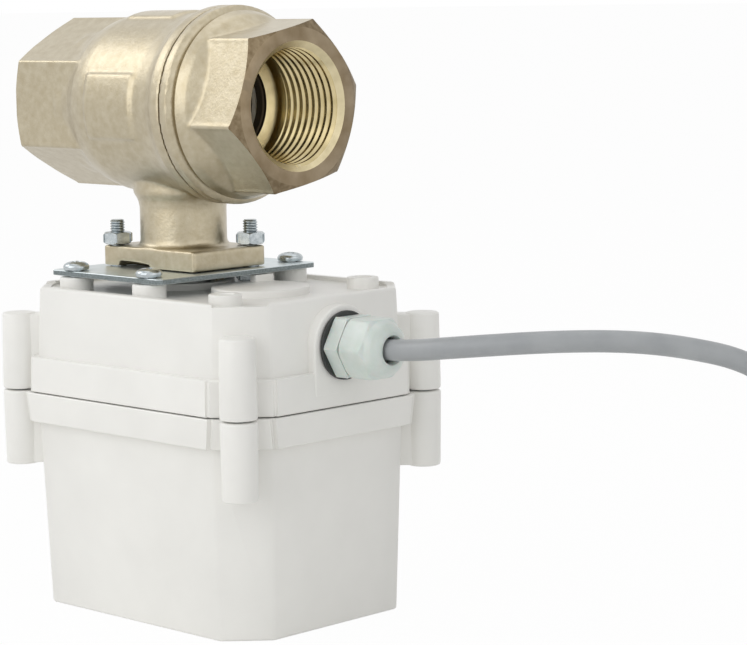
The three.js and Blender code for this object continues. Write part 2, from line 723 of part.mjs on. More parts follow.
// Upper shell: ceiling with a sunk top, gland pad, and bosses that carry the plate, the gears and the output shaft
function makeUpperCase() {
  const bandGrow = draftToParting + upperBandProud;
  const body = loft([outlineAt(draftToParting, upperShellBottom), outlineAt(0, rimHeight)]);
  const band = loft([outlineAt(bandGrow, upperShellBottom),
    outlineAt(bandGrow - bandTaper, upperShellBottom + upperBandHeight)]);
  const posts = postPlaces.map((place) => cornerPost(place, upperShellBottom + gap / 2, postTop, postRadius,
    postTipRadius));
  const pad = join(alongX(rod(glandPadRadius, padFront - glandPadDepth, padFront, boreSides), glandHeight),
    block(padFront - glandPadDepth, padFront, -glandPadRadius, glandPadRadius, upperShellBottom + upperBandHeight / 2,
      glandHeight));
  const recess = loft([outlineAt(-rimWidth, topFloorHeight), outlineAt(-rimWidth, rimHeight + overrun)]);
  const inside = draftToParting - wall;
  const cavity = loft([outlineAt(inside, upperShellBottom - overrun), outlineAt(inside, upperShellBottom),
    outlineAt(-wall, ceilingHeight)]);
  const notches = corners.map(([sx, sy]) => {
    const x = (sx > 0 ? caseRight : caseLeft) - (sx * caseChamfer) / 2;
    const y = sy * (caseHalfWidth - caseChamfer / 2);
    const half = caseChamfer / Math.SQRT2 - gap;
    const notch = block(-rimWidth - sink, overrun, -half, half, rimHeight - chamferRimDrop, rimHeight + overrun);
    return moved(notch.rotate([0, 0, Math.atan2(sy, sx) / degrees]), x, y);
  });
  const shell = cut(join(body, band, ...posts, pad), recess, cavity, ...notches);

  const bossTop = plateBottom - gap;
  const disc = moved(rod(discRadius, topFloorHeight - sink, topFloorHeight + discHeight), discX, 0);
  const discRib = block(discRibX, discRibX + discRibWidth, discRibY, discRibY + discRibLength,
    topFloorHeight + discHeight - sink, bossTop);
  const plateBosses = corners.map(([sx, sy]) => moved(
    rod(plateBossRadius, ceilingHeight - plateBossDepth, bossTop, smallSides),
    sx * plateScrewX,
    sy * plateScrewY,
  ));
  const gearPosts = gearBosses.map(([x, y]) => moved(
    rod(gearBossRadius, gearPlateTop + gap, topFloorHeight + (x > 0 ? gearBossHeight : -sink), smallSides + 2),
    x,
    y,
  ));
  const axleBoss = moved(rod(gearBossRadius, axleBossBottom, ceilingHeight + sink, smallSides), middleX, middleY);
  const hub = rod(hubRadius, hubBottom, topFloorHeight + hubRise, boreSides);

  const plateScrewHoles = corners.map(([sx, sy]) => moved(
    rod(screwShankRadius + gap, plateTop - plateScrewLength, bossTop + overrun, smallSides),
    sx * plateScrewX,
    sy * plateScrewY,
  ));
  const gearScrewHoles = gearBosses.map(([x, y]) => moved(
    rod(gearScrewRadius + gap, gearPlateTop - overrun, gearPlateTop + gearScrewLength + gap, smallSides),
    x,
    y,
  ));
  const axleHole = moved(rod(axleRadius + gap, axleBossBottom - overrun, axleTop + gap, smallSides), middleX, middleY);
  const shaftHole = rod(bushRadius + gap, hubBottom - overrun, topFloorHeight + hubRise + overrun, boreSides);
  const glandHole = alongX(rod(glandThreadRadius + gap, padFront - glandThreadLength, padFront + overrun, middleSides),
    glandHeight);
  const caseScrewHoles = postPlaces.map(([x, y]) => moved(
    rod(screwShankRadius + gap, upperShellBottom - overrun, caseScrewTop + gap, smallSides),
    x,
    y,
  ));
  return cut(join(shell, disc, discRib, ...plateBosses, ...gearPosts, axleBoss, hub), ...plateScrewHoles,
    ...gearScrewHoles, axleHole, shaftHole, glandHole, ...caseScrewHoles);
}
piece('upper_case', makeUpperCase(), whitePlastic());

// Sealing cord in a groove of the lower shell's rim, as a frame between two outlines
function rimFrame(halfWidth, z0, z1) {
  return cut(
    loft([outlineAt(grooveMiddle + halfWidth, z0), outlineAt(grooveMiddle + halfWidth, z1)]),
    loft([outlineAt(grooveMiddle - halfWidth, z0 - overrun), outlineAt(grooveMiddle - halfWidth, z1 + overrun)]),
  );
}

// Lower shell: tapered tub with rails for the circuit board and counterbored posts for the case screws
function makeLowerCase() {
  const body = loft([outlineAt(draftToBottom, 0), outlineAt(draftToParting, lowerShellTop)]);
  const bandGrow = draftToParting + lowerBandProud;
  const band = loft([outlineAt(bandGrow - bandTaper, lowerShellTop - lowerBandHeight, bandGrow),
    outlineAt(bandGrow, lowerShellTop, bandGrow + chamferBandExtra)]);
  const posts = postPlaces.map((place) => cornerPost(place, postBottom, lowerShellTop - gap / 2, postTipRadius,
    postRadius));
  const cavity = loft([outlineAt(draftToBottom - wall, wall), outlineAt(draftToParting - wall, lowerShellTop),
    outlineAt(draftToParting - wall, lowerShellTop + overrun)]);
  const groove = rimFrame(gasketWidth / 2 + gap, lowerShellTop - gasketDepth, lowerShellTop + overrun);
  const shell = cut(join(body, band, ...posts), cavity, groove);
  const shellMiddle = loft([outlineAt(draftToBottom - wall / 2, wall / 2),
    outlineAt(draftToParting - wall / 2, lowerShellTop)]);
  const rail = block(boardX - railThickness, caseRight, boardHalfWidth - railGrip, boardHalfWidth + railThickness,
    wall / 2, boardTop - railBelowBoardTop);
  const boardSlot = block(boardX - gap, boardX + boardThickness + gap, 0, boardHalfWidth + gap, boardBottom - gap,
    boardTop);
  const railNear = cut(rail, boardSlot).intersect(shellMiddle);
  const screwHoles = postPlaces.map(([x, y]) => moved(join(
    rod(screwShankRadius + gap, postBottom - overrun, lowerShellTop + overrun, smallSides),
    rod(caseScrewHeadRadius + gap, postBottom - overrun, postBottom + counterboreDepth, smallSides),
  ), x, y));
  return cut(join(shell, railNear, railNear.mirror([0, 1, 0])), ...screwHoles);
}
piece('lower_case', makeLowerCase(), whitePlastic());
piece('case_gasket', rimFrame(gasketWidth / 2, lowerShellTop - gasketDepth + gap, lowerShellTop), blackRubber());

// Case screws, driven up from below into the posts of the upper shell
function makeCaseScrew() {
  const seat = postBottom + counterboreDepth - gap;
  return join(rod(caseScrewHeadRadius, seat - caseScrewHeadHeight, seat, smallSides),
    rod(screwShankRadius, seat - sink, caseScrewTop, smallSides));
}
postPlaces.forEach(([x, y], i) => piece(`case_screw_${i + 1}`, moved(makeCaseScrew(), x, y), zincSteel()));

// Gear outline with slender straight-sided teeth, one of them centred on the phase angle
const addendumShare = 0.95;
const dedendumShare = 1.2;
const toothRootShare = 0.27;
const toothTipShare = 0.11;
function gearOutline(teeth, size, phase) {
  const pitchRadius = (teeth * size) / 2;
  const tip = pitchRadius + size * addendumShare;
  const root = pitchRadius - size * dedendumShare;
  const step = (2 * Math.PI) / teeth;
  return Array.from({ length: teeth }, (_, i) => phase + i * step).flatMap((middle) => [
    [root, middle - step * toothRootShare], [tip, middle - step * toothTipShare],
    [tip, middle + step * toothTipShare], [root, middle + step * toothRootShare],
  ]).map(([radius, angle]) => [radius * Math.cos(angle), radius * Math.sin(angle)]);
}

// Output shaft with its square socket, the bush it turns in and its gear
function makeOutputShaft() {
  const shaftTop = plateBottom - gap;
  const stepHeight = gearPlateTop + shaftStepRise;
  const journalBottom = outputGearTop + gap;
  const shaft = turned([[0, gearPlateBottom - shaftTailLength], [shaftTailRadius, gearPlateBottom - shaftTailLength],
    [shaftTailRadius, stepHeight], [shaftGearRadius, stepHeight], [shaftGearRadius, journalBottom],
    [shaftJournalRadius, journalBottom], [shaftJournalRadius, shaftTop], [0, shaftTop]], boreSides);
  const half = stemSquare / 2 + gap;
  return cut(shaft, block(-half, half, -half, half, stemBottom - gap, shaftTop + overrun));
}
piece('output_shaft', makeOutputShaft(), zincSteel());
piece('shaft_bush', tube(shaftJournalRadius + gap, bushRadius, ceilingHeight - bushDepth, topFloorHeight + bushRise,
  boreSides), bareBrass());
piece('output_gear', cut(prism(gearOutline(outputTeeth, outputModule, middleGearAngle), outputGearBottom, outputGearTop),
  hole(shaftGearRadius, outputGearBottom, outputGearTop, boreSides)), sinteredSteel());

// Middle gear: a wheel and a pinion in one moulding, turning on a pin between the plate and the ceiling
const pinionPhase = middleGearAngle + Math.PI + Math.PI / pinionTeeth;
function makeMiddleGear() {
  const wheel = prism(gearOutline(wheelTeeth, motorModule, motorAngle), wheelBottom, wheelTop);
  const pinion = prism(gearOutline(pinionTeeth, outputModule, pinionPhase), wheelTop - sink, outputGearTop);
  return moved(cut(join(wheel, pinion), hole(axleRadius, wheelBottom, outputGearTop)), middleX, middleY);
}
piece('middle_gear', makeMiddleGear(), paleAcetal());
piece('middle_axle', moved(rod(axleRadius, gearPlateBottom, axleTop, smallSides), middleX, middleY), zincSteel());

// Shaft of the gear motor, in one with the last wheel of its gearhead, and the motor pinion on it
const motorShaftBottom = gearPlateBottom - motorShaftDepth;
const lastWheelTop = motorShaftBottom + lastWheelHeight;
const lastWheelRadius = gearheadRadius - gearheadWall - 2 * gap;
const motorPhase = motorAngle + Math.PI + Math.PI / motorTeeth;
piece('motor_shaft', moved(join(rod(motorShaftRadius, motorShaftBottom, wheelTop + motorShaftRise, smallSides),
  rod(lastWheelRadius, motorShaftBottom, lastWheelTop, smallSides)), motorX, motorY), zincSteel());
piece('motor_pinion', moved(cut(prism(gearOutline(motorTeeth, motorModule, motorPhase), wheelBottom - gap,
  wheelTop + gap), hole(motorShaftRadius, wheelBottom, wheelTop)), motorX, motorY), bareBrass());

// Gear motor, hung under the gear plate: the last wheel turns in a chamber of the gearhead
const gearheadTop = gearPlateBottom - gap;
const gearheadBottom = gearheadTop - gearheadLength;
const motorBottom = motorRise;
piece('gearhead', moved(cut(join(rod(gearheadRadius, gearheadBottom, gearheadTop, boreSides),
  rod(gearheadSpigotRadius, gearheadTop - sink, gearPlateTop - gap, smallSides)),
rod(motorShaftRadius + gap, motorShaftBottom - gap, gearPlateTop + overrun, smallSides),
rod(gearheadRadius - gearheadWall, motorShaftBottom - gap, lastWheelTop + gap, smallSides)), motorX, motorY),
zincSteel());
piece('drive_motor', moved(join(rod(motorRadius, motorBottom, gearheadBottom - gap, boreSides),
  rod(motorCapRadius, motorBottom - motorCapLength, motorBottom + sink, smallSides)), motorX, motorY),
sinteredSteel());

// Steel plate that carries the gears, the motor and the switches
function makeGearPlate() {
  const x0 = gearBossFarX - gearBossRadius;
  const x1 = gearBossNearX + gearPlateEdge;
  const y1 = gearBossNearY + gearPlateEdge;
  const small = gearPlateCorner;
  const notchX = x1 - gearPlateNotchDepth;
  const notchY = gearPlateNotchHalfWidth;
  const half = [[x1, notchY + small], [x1, y1 - small], [x1 - small, y1], [x0 + 2 * small, y1], [x0, y1 - 2 * small]];
  const other = half.map(([x, y]) => [x, -y]).reverse();
  const plate = prism([[notchX, notchY], ...half, ...other, [notchX, -notchY]], gearPlateBottom, gearPlateTop);
  const screwHoles = gearBosses.map(([x, y]) => moved(hole(gearScrewRadius, gearPlateBottom, gearPlateTop), x, y));
  return cut(plate, ...screwHoles, hole(shaftTailRadius, gearPlateBottom, gearPlateTop, boreSides),
    moved(hole(axleRadius, gearPlateBottom, gearPlateTop), middleX, middleY),
    moved(hole(gearheadSpigotRadius, gearPlateBottom, gearPlateTop), motorX, motorY));
}
piece('gear_plate', makeGearPlate(), zincSteel());
function makeGearScrew() {
  const headTop = gearPlateBottom - gap;
  return join(rod(gearScrewHeadRadius, headTop - gearScrewHeadHeight, headTop, smallSides),
    rod(gearScrewRadius, headTop - sink, gearPlateTop + gearScrewLength, smallSides));
}
gearBosses.forEach(([x, y], i) => piece(`gear_plate_screw_${i + 1}`, moved(makeGearScrew(), x, y), zincSteel()));

// Cam on the tail of the output shaft, and the two limit switches that it trips
const camTop = gearPlateBottom - gap;
const camBottom = camTop - camHeight;
const lobeShares = [[0, 0.5], [0.9, 0.35], [1, 0]];
const lobe = lobeShares.map(([out, wide]) => [-out * camReach, wide * camLobeWidth]);
const lobeOutline = [...lobe, ...lobe.slice(0, -1).reverse().map(([x, y]) => [x, -y])];
piece('limit_cam', cut(join(rod(camRadius, camBottom, camTop, middleSides), prism(lobeOutline, camBottom, camTop)),
  hole(shaftTailRadius, camBottom, camTop, boreSides)), darkPlastic());
function makeLimitSwitch() {
  const front = camReach + switchStandOff;
  const half = switchButtonWidth / 2;
  return join(block(-front - switchDepth, -front, -switchWidth / 2, switchWidth / 2, camBottom, camTop),
    block(-front - sink, -camReach - gap, -half, half, camBottom + switchButtonInset, camTop - switchButtonInset));
}
piece('limit_switch_open', makeLimitSwitch(), darkPlastic());
piece('limit_switch_shut', makeLimitSwitch().rotate([0, 0, 90]), darkPlastic());

// Circuit board in its rails, with relay, capacitor and the terminal block for the cable
const partBack = boardX - gap;
const partEdgeY = -boardHalfWidth + railGrip + gap;
const relayBottom = boardBottom + relayRise;
const terminalTop = boardTop - terminalBelowBoardTop;
const relayTop = terminalTop - terminalHeight - relayBelowTerminal;
piece('circuit_board', block(boardX, boardX + boardThickness, -boardHalfWidth, boardHalfWidth, boardBottom, boardTop),
  boardGreen());
piece('relay', block(partBack - relayLength, partBack, partEdgeY, partEdgeY + relayWidth, relayBottom,
  relayTop), relayBlue());
piece('capacitor', moved(alongX(rod(capacitorRadius, partBack - capacitorLength, partBack, smallSides),
  boardBottom + capacitorRise), 0, capacitorY), darkPlastic());
piece('terminal_block', cut(
  block(partBack - terminalLength, partBack, partEdgeY, partEdgeY + terminalWidth, terminalTop - terminalHeight,
    terminalTop),
  block(partBack - terminalWall - terminalSlot, partBack - terminalWall, partEdgeY + terminalWall,
    partEdgeY + terminalWidth - terminalWall, terminalTop - terminalSlotDepth, terminalTop + overrun),
), terminalGreen());

// Cable gland: washer, body, nut inside the case, seal and dome nut
const washerFront = padFront + gap + glandWasherThickness;
const glandFlangeFront = washerFront + gap + glandFlangeLength;
const glandNoseFront = glandFlangeFront + glandNoseLength;
const glandInnerX = washerFront - glandThreadLength;
const domeHexFront = glandFlangeFront + gap + domeHexLength;
const domeFront = domeHexFront + domeLength;
const glandBore = cableRadius + glandSealWidth;
const glandHex = (x0, x1) => alongX(prism(regular(6, glandAcrossFlats / Math.sqrt(3), quarterTurn), x0, x1),
  glandHeight);
piece('gland_washer', alongX(tube(glandThreadRadius + gap, glandWasherRadius, padFront + gap, washerFront, boreSides),
  glandHeight), blackRubber());
piece('gland_body', cut(join(glandHex(washerFront + gap, glandFlangeFront),
  alongX(rod(glandThreadRadius, glandInnerX, glandNoseFront, middleSides), glandHeight)),
alongX(rod(glandBore, glandInnerX - overrun, glandNoseFront + overrun, middleSides), glandHeight)), paleNylon());
const lockNutFront = caseRight - wall - gap;
piece('gland_lock_nut', cut(glandHex(lockNutFront - lockNutLength, lockNutFront),
  alongX(hole(glandThreadRadius, lockNutFront - lockNutLength, lockNutFront, middleSides), glandHeight)),
paleNylon());
piece('gland_seal', alongX(tube(cableRadius + gap, glandBore - gap, glandFlangeFront - glandSealTail, glandNoseFront,
  middleSides), glandHeight), blackRubber());
function makeDomeNut() {
  const bulgeX = domeHexFront + domeLength / 4;
  const domeProfile = [[0, domeHexFront - sink], [domeNeckRadius, domeHexFront - sink], [domeNeckRadius, domeHexFront],
    [domeBulgeRadius, bulgeX], [domeNeckRadius, domeFront - domeLength / 3], [domeTipRadius, domeFront], [0, domeFront]];
  const inner = glandThreadRadius + gap;
  const innerEnd = glandNoseFront + gap;
  const inside = turned([[0, glandFlangeFront - overrun], [inner, glandFlangeFront - overrun], [inner, innerEnd],
    [domeHoleRadius, domeFront - domeLipLength], [domeHoleRadius, domeFront + overrun], [0, domeFront + overrun]],
  middleSides);
  return cut(join(glandHex(glandFlangeFront + gap, domeHexFront), alongX(turned(domeProfile, boreSides), glandHeight)),
    alongX(inside, glandHeight));
}
piece('gland_dome_nut', makeDomeNut(), paleNylon());

// Cable route in the air, from the gland's front: straight out, then a shallow rise that turns to its heading
const sheathEndX = glandInnerX + sheathInset;
const fromGland = ([x, y, z]) => new THREE.Vector3(domeFront + x, y, glandHeight + z);
const riseRoute = [[sheathEndX - domeFront, 0, 0], [-12.3, 0, 0], [0, 0, 0.1], [10, 0, 1], [20, 0.6, 2.3],
  [29.6, 3.4, 3.4], [38.3, 8.1, 4.2], [45.9, 14.7, 4.5], [53.1, 21.6, 4.4], [60.3, 28.6, 3.7],
  [67.5, 35.5, 2.2]].map(fromGland);
const fallStart = fromGland([74.5, 42.3, -0.2]);

// Then it falls in one plane: round the shoulder, down a short straight, and round to lie on the floor
const along = new THREE.Vector3(Math.cos(cableHeading), Math.sin(cableHeading), 0);
const shoulderForward = shoulderBend * (Math.sin(dropSlope) - Math.sin(leaveSlope));
const shoulderDrop = shoulderBend * (Math.cos(leaveSlope) - Math.cos(dropSlope));
const straightDrop = fallStart.z - cableRadius - shoulderDrop - floorBend * (1 - Math.cos(dropSlope));
const straightForward = straightDrop / Math.tan(dropSlope);
const floorForward = shoulderForward + straightForward + floorBend * Math.sin(dropSlope);
const falling = (forward, height) => fallStart.clone().addScaledVector(along, forward).setZ(height);
const shoulderPoint = (slope) => falling(
  shoulderBend * (Math.sin(slope) - Math.sin(leaveSlope)),
  fallStart.z - shoulderBend * (Math.cos(leaveSlope) - Math.cos(slope)),
);
const floorPoint = (slope) => falling(
  floorForward - floorBend * Math.sin(slope),
  cableRadius + floorBend * (1 - Math.cos(slope)),
);
const bendShares = [0, 0.25, 0.5, 0.75, 1];
const cableRoute = [
  ...riseRoute,
  ...bendShares.map((share) => shoulderPoint(leaveSlope + share * (dropSlope - leaveSlope))),
  falling(shoulderForward + straightForward / 2, fallStart.z - shoulderDrop - straightDrop / 2),
  ...bendShares.map((share) => floorPoint(dropSlope * (1 - share))),
  falling(floorForward + layLength / 2, cableRadius),
  falling(floorForward + layLength, cableRadius),
];
piece('cable', sweptTube(cableRoute, cableRadius, cableSides, cableSteps), cableGrey());

// Coil: one unbroken tube that spirals in on the floor, climbs a layer at the turn-round and spirals out on top.
// Each end runs straight for one diameter.
const coilStart = falling(floorForward + layLength + gap, cableRadius);
const coilStartAngle = cableHeading + quarterTurn;
const onCircle = (radius, angle) => new THREE.Vector3(radius * Math.cos(angle), radius * Math.sin(angle), 0);
const coilCentre = coilStart.clone().addScaledVector(along, 2 * cableRadius).setZ(0)
  .sub(onCircle(coilRadius, coilStartAngle));
function coilPoint(turn) {
  const half = coilTurns / 2;
  const radius = coilRadius - coilPitch * (half - Math.abs(turn - half));
  const climb = THREE.MathUtils.smoothstep(turn, half - 0.25, half + 0.25);
  return onCircle(radius, coilStartAngle - turn * 2 * Math.PI).add(coilCentre)
    .setZ(cableRadius + coilLayerRise * climb);
}
const coilEndAngle = coilStartAngle - coilTurns * 2 * Math.PI - quarterTurn;
const endRun = onCircle(1, coilEndAngle);
const endSide = onCircle(1, coilEndAngle - quarterTurn);
const coilEnd = coilPoint(coilTurns).addScaledVector(endRun, 2 * cableRadius);

function coilTube() {
  const turnSteps = Math.round(coilTurns * coilStepsPerTurn);
  const turns = Array.from({ length: turnSteps + 1 }, (_, i) => coilPoint((i / turnSteps) * coilTurns));
  const centres = [coilStart, ...turns, coilEnd];
  const steps = centres.length - 1;
  const positions = [];
  const index = [];
  const up = new THREE.Vector3(0, 0, 1);
  centres.forEach((centre, i) => {
    const run = centres[Math.min(i + 1, steps)].clone().sub(centres[Math.max(i - 1, 0)]).normalize();
    const side = run.clone().cross(up).normalize();
    const lift = side.clone().cross(run);
    for (const [x, y] of regular(coilSides, cableRadius, 0)) {
      const point = centre.clone().addScaledVector(side, x).addScaledVector(lift, y);
      positions.push(point.x, point.y, point.z);
    }
  });
  for (let low = 0; low < steps * coilSides; low += coilSides) {
    const high = low + coilSides;
    for (let k = 0; k < coilSides; k += 1) {
      const next = (k + 1) % coilSides;
      index.push(low + k, high + next, low + next, low + k, high + k, high + next);
    }
  }
  const last = steps * coilSides;
  for (let k = 1; k + 1 < coilSides; k += 1) index.push(0, k, k + 1, last, last + k + 1, last + k);
  return solidOf(closedGeometry(positions, index));
}
piece('cable_coil', coilTube(), cableGrey());

// Least clear distance between two stretches of the coil more than half a turn apart
const samplesPerTurn = 320;
const samples = Array.from({ length: coilTurns * samplesPerTurn + 1 }, (_, i) => coilPoint(i / samplesPerTurn));
let leastDistance = Infinity;
samples.forEach((sample, i) => {
  for (let k = i + samplesPerTurn / 2; k < samples.length; k += 1) {
    leastDistance = Math.min(leastDistance, sample.distanceTo(samples[k]));
  }
});
console.log(`least gap between the coil's turns: ${(leastDistance - 2 * cableRadius).toFixed(2)} mm`);

// Stripped cores at the cable's free end: they fan out and sink to the floor
const cores = [['brown', 0x6b4630, 0], ['black', 0x2b2c2e, -2], ['grey', 0x8d9093, -1], ['blue', 0x3c62a8, 1],
  ['green', 0x6f9a3c, 2]];
const coreRing = cableRadius - 2 * coreRadius;
cores.forEach(([name, colour, rank], i) => {
  const turn = quarterTurn + (i * 2 * Math.PI) / cores.length;
  const inSheath = coreRing * Math.cos(turn);
  const startHeight = coilEnd.z + coreRing * Math.sin(turn);
  const routeShares = [[0, 0, 0], [0.15, 0, 0], [0.45, 0.3, 0.3], [0.8, 0.8, 0.88], [1, 1, 1]];
  const route = routeShares.map(([length, spread, fall]) => coilEnd.clone()
    .addScaledVector(endRun, gap + coreLength * length)
    .addScaledVector(endSide, THREE.MathUtils.lerp(inSheath, rank * coreSpread, spread))
    .setZ(THREE.MathUtils.lerp(startHeight, coreRadius, fall)));
  piece(`core_${name}`, sweptTube(route, coreRadius, 6, 8), finish(colour, 0, 0.5));
});

// Stripped bundle inside the case: from the end of the sheath over and down to the terminal block
const leadEnd = new THREE.Vector3(partBack - terminalWall - terminalSlot / 2, partEdgeY + terminalWidth / 2,
  terminalTop + gap);
const leadStart = new THREE.Vector3(sheathEndX - gap, 0, glandHeight);
const leadShares = [[0, 0, 1], [0.44, 0, 1], [0.77, -0.02, 0.96], [0.9, -0.07, 0.88], [0.9, -0.16, 0.75],
  [0.8, -0.25, 0.6], [0.67, -0.27, 0.49], [0.56, -0.13, 0.36], [0.57, 0.22, 0.21], [0.7, 0.67, 0.11],
  [0.92, 0.94, 0.05], [1, 1, 0]];
const leadRoute = leadShares.map(([across, aside, up]) => new THREE.Vector3(
  THREE.MathUtils.lerp(leadStart.x, leadEnd.x, across),
  THREE.MathUtils.lerp(leadStart.y, leadEnd.y, aside),
  THREE.MathUtils.lerp(leadEnd.z, leadStart.z, up),
));
piece('inner_lead', sweptTube(leadRoute, leadRadius, 8, 12), leadGrey());

export default valve;
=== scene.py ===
import math

import bmesh
import bpy
from mathutils import Matrix, Vector


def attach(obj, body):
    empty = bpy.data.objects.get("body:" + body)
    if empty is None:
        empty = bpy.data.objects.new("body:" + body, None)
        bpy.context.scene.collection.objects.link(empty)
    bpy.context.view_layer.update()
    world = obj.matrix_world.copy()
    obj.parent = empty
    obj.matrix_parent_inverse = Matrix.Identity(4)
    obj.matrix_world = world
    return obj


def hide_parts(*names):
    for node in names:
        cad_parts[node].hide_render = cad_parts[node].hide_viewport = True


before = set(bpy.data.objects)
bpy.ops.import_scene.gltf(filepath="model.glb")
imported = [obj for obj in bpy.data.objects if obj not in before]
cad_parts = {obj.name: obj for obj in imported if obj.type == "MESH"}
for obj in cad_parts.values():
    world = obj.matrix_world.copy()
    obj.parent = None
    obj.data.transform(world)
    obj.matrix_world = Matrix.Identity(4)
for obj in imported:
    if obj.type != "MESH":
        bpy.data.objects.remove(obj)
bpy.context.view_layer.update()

MM = 0.001


# Camera
# The photograph was taken with a long lens from the front right, a little above the case.
PHOTO_WIDTH = 747
FOCAL_PIXELS = 2532.26
SENSOR_WIDTH = 36
NEAREST_SEEN = 0.05
FARTHEST_SEEN = 200
CAMERA_AZIMUTH = math.radians(44.21)
CAMERA_ELEVATION = math.radians(7.20)
CAMERA_ROLL = math.radians(-0.84)
CAMERA_PLACE = Vector((516.59, -457.38, 161.61))

lens = bpy.data.cameras.new("camera")
lens.sensor_width = SENSOR_WIDTH
lens.lens = FOCAL_PIXELS * SENSOR_WIDTH / PHOTO_WIDTH
lens.clip_start = NEAREST_SEEN
lens.clip_end = FARTHEST_SEEN
camera = bpy.data.objects.new("camera", lens)
bpy.context.scene.collection.objects.link(camera)
bpy.context.scene.camera = camera
backwards = Vector((
    math.sin(CAMERA_AZIMUTH) * math.cos(CAMERA_ELEVATION),
    -math.cos(CAMERA_AZIMUTH) * math.cos(CAMERA_ELEVATION),
    math.sin(CAMERA_ELEVATION),
))
level_right = (-backwards).cross(Vector((0, 0, 1))).normalized()
level_up = level_right.cross(-backwards)
camera_right = level_right * math.cos(CAMERA_ROLL) + level_up * math.sin(CAMERA_ROLL)
camera_up = level_up * math.cos(CAMERA_ROLL) - level_right * math.sin(CAMERA_ROLL)
turn = Matrix((camera_right, camera_up, backwards)).transposed().to_4x4()
camera.matrix_world = Matrix.Translation(CAMERA_PLACE * MM) @ turn
bpy.context.scene.view_settings.view_transform = "Standard"


# Studio
# A white floor that keeps a faint shadow, a white surround, and large soft lamps in front, at the upper
# left, at the right and above.
def colour(code):
    """Linear colour from an sRGB hex code."""
    parts = [int(code[i:i + 2], 16) / 255 for i in (1, 3, 5)]
    linear = [p / 12.92 if p <= 0.04045 else ((p + 0.055) / 1.055) ** 2.4 for p in parts]
    return (*linear, 1)


def add_node(tree, kind, links=None, **settings):
    """Adds a node: its settings by name, its inputs as values or as sockets to link."""
    made = tree.nodes.new(kind)
    for name, value in settings.items():
        setattr(made, name, value)
    for name, value in (links or {}).items():
        if isinstance(value, bpy.types.NodeSocket):
            tree.links.new(value, made.inputs[name])
        else:
            made.inputs[name].default_value = value
    return made


def any_ray(tree, first, *others):
    """A socket that is 1 for the named kinds of ray and 0 for all others."""
    path = add_node(tree, "ShaderNodeLightPath")
    seen = path.outputs[first]
    for kind in others:
        seen = add_node(tree, "ShaderNodeMath", {0: seen, 1: path.outputs[kind]},
            operation="MAXIMUM").outputs[0]
    return seen


WHITE = "#ffffff"
SURROUND_LIGHT = 0.50
SEEN_SHARE = 0.965
world = bpy.data.worlds.new("studio")
world.use_nodes = True
bpy.context.scene.world = world
tree = world.node_tree
tree.nodes.clear()
seen = any_ray(tree, "Is Camera Ray", "Is Glossy Ray", "Is Transmission Ray")
shown = add_node(tree, "ShaderNodeBackground", {"Color": colour(WHITE), "Strength": 1.0})
lit = add_node(tree, "ShaderNodeBackground", {"Color": colour(WHITE), "Strength": SURROUND_LIGHT})
both = add_node(tree, "ShaderNodeMixShader", {0: seen, 1: lit.outputs[0], 2: shown.outputs[0]})
add_node(tree, "ShaderNodeOutputWorld", {"Surface": both.outputs[0]})

FLOOR_HALF = 60.0
floor_mesh = bpy.data.meshes.new("floor")
floor_mesh.from_pydata([(-FLOOR_HALF, -FLOOR_HALF, 0), (FLOOR_HALF, -FLOOR_HALF, 0),
    (FLOOR_HALF, FLOOR_HALF, 0), (-FLOOR_HALF, FLOOR_HALF, 0)], [], [(0, 1, 2, 3)])
floor = bpy.data.objects.new("floor", floor_mesh)
bpy.context.scene.collection.objects.link(floor)
paper = bpy.data.materials.new("white_paper")
paper.use_nodes = True
tree = paper.node_tree
tree.nodes.clear()
seen = any_ray(tree, "Is Camera Ray", "Is Glossy Ray")
share = add_node(tree, "ShaderNodeMath", {0: seen, 1: SEEN_SHARE}, operation="MULTIPLY")
matt = add_node(tree, "ShaderNodeBsdfDiffuse", {"Color": colour("#f4f4f2")})
glow = add_node(tree, "ShaderNodeEmission", {"Color": colour(WHITE), "Strength": 1.0})
both = add_node(tree, "ShaderNodeMixShader", {0: share.outputs[0], 1: matt.outputs[0], 2: glow.outputs[0]})
add_node(tree, "ShaderNodeOutputMaterial", {"Surface": both.outputs[0]})
floor.data.materials.append(paper)

OBJECT_MIDDLE = Vector((0.02, 0, 0.08))
LAMPS = {
    "front_softbox": ((0.0, -1.05, 0.55), 1.05, 4.6),
    "upper_left_softbox": ((-0.76, -0.42, 0.76), 0.5, 1.9),
    "right_softbox": ((1.1, 0.0, 0.5), 1.2, 2.2),
    "top_softbox": ((-0.1, 0.2, 1.1), 0.9, 1.3),
}
for name, (place, size, power) in LAMPS.items():
    light = bpy.data.lights.new(name, "AREA")
    light.shape = "SQUARE"
    light.size = size
    light.energy = power
    lamp = bpy.data.objects.new(name, light)
    lamp.location = place
    lamp.rotation_mode = "QUATERNION"
    lamp.rotation_quaternion = (Vector(place) - OBJECT_MIDDLE).to_track_quat("Z", "Y")
    bpy.context.scene.collection.objects.link(lamp)


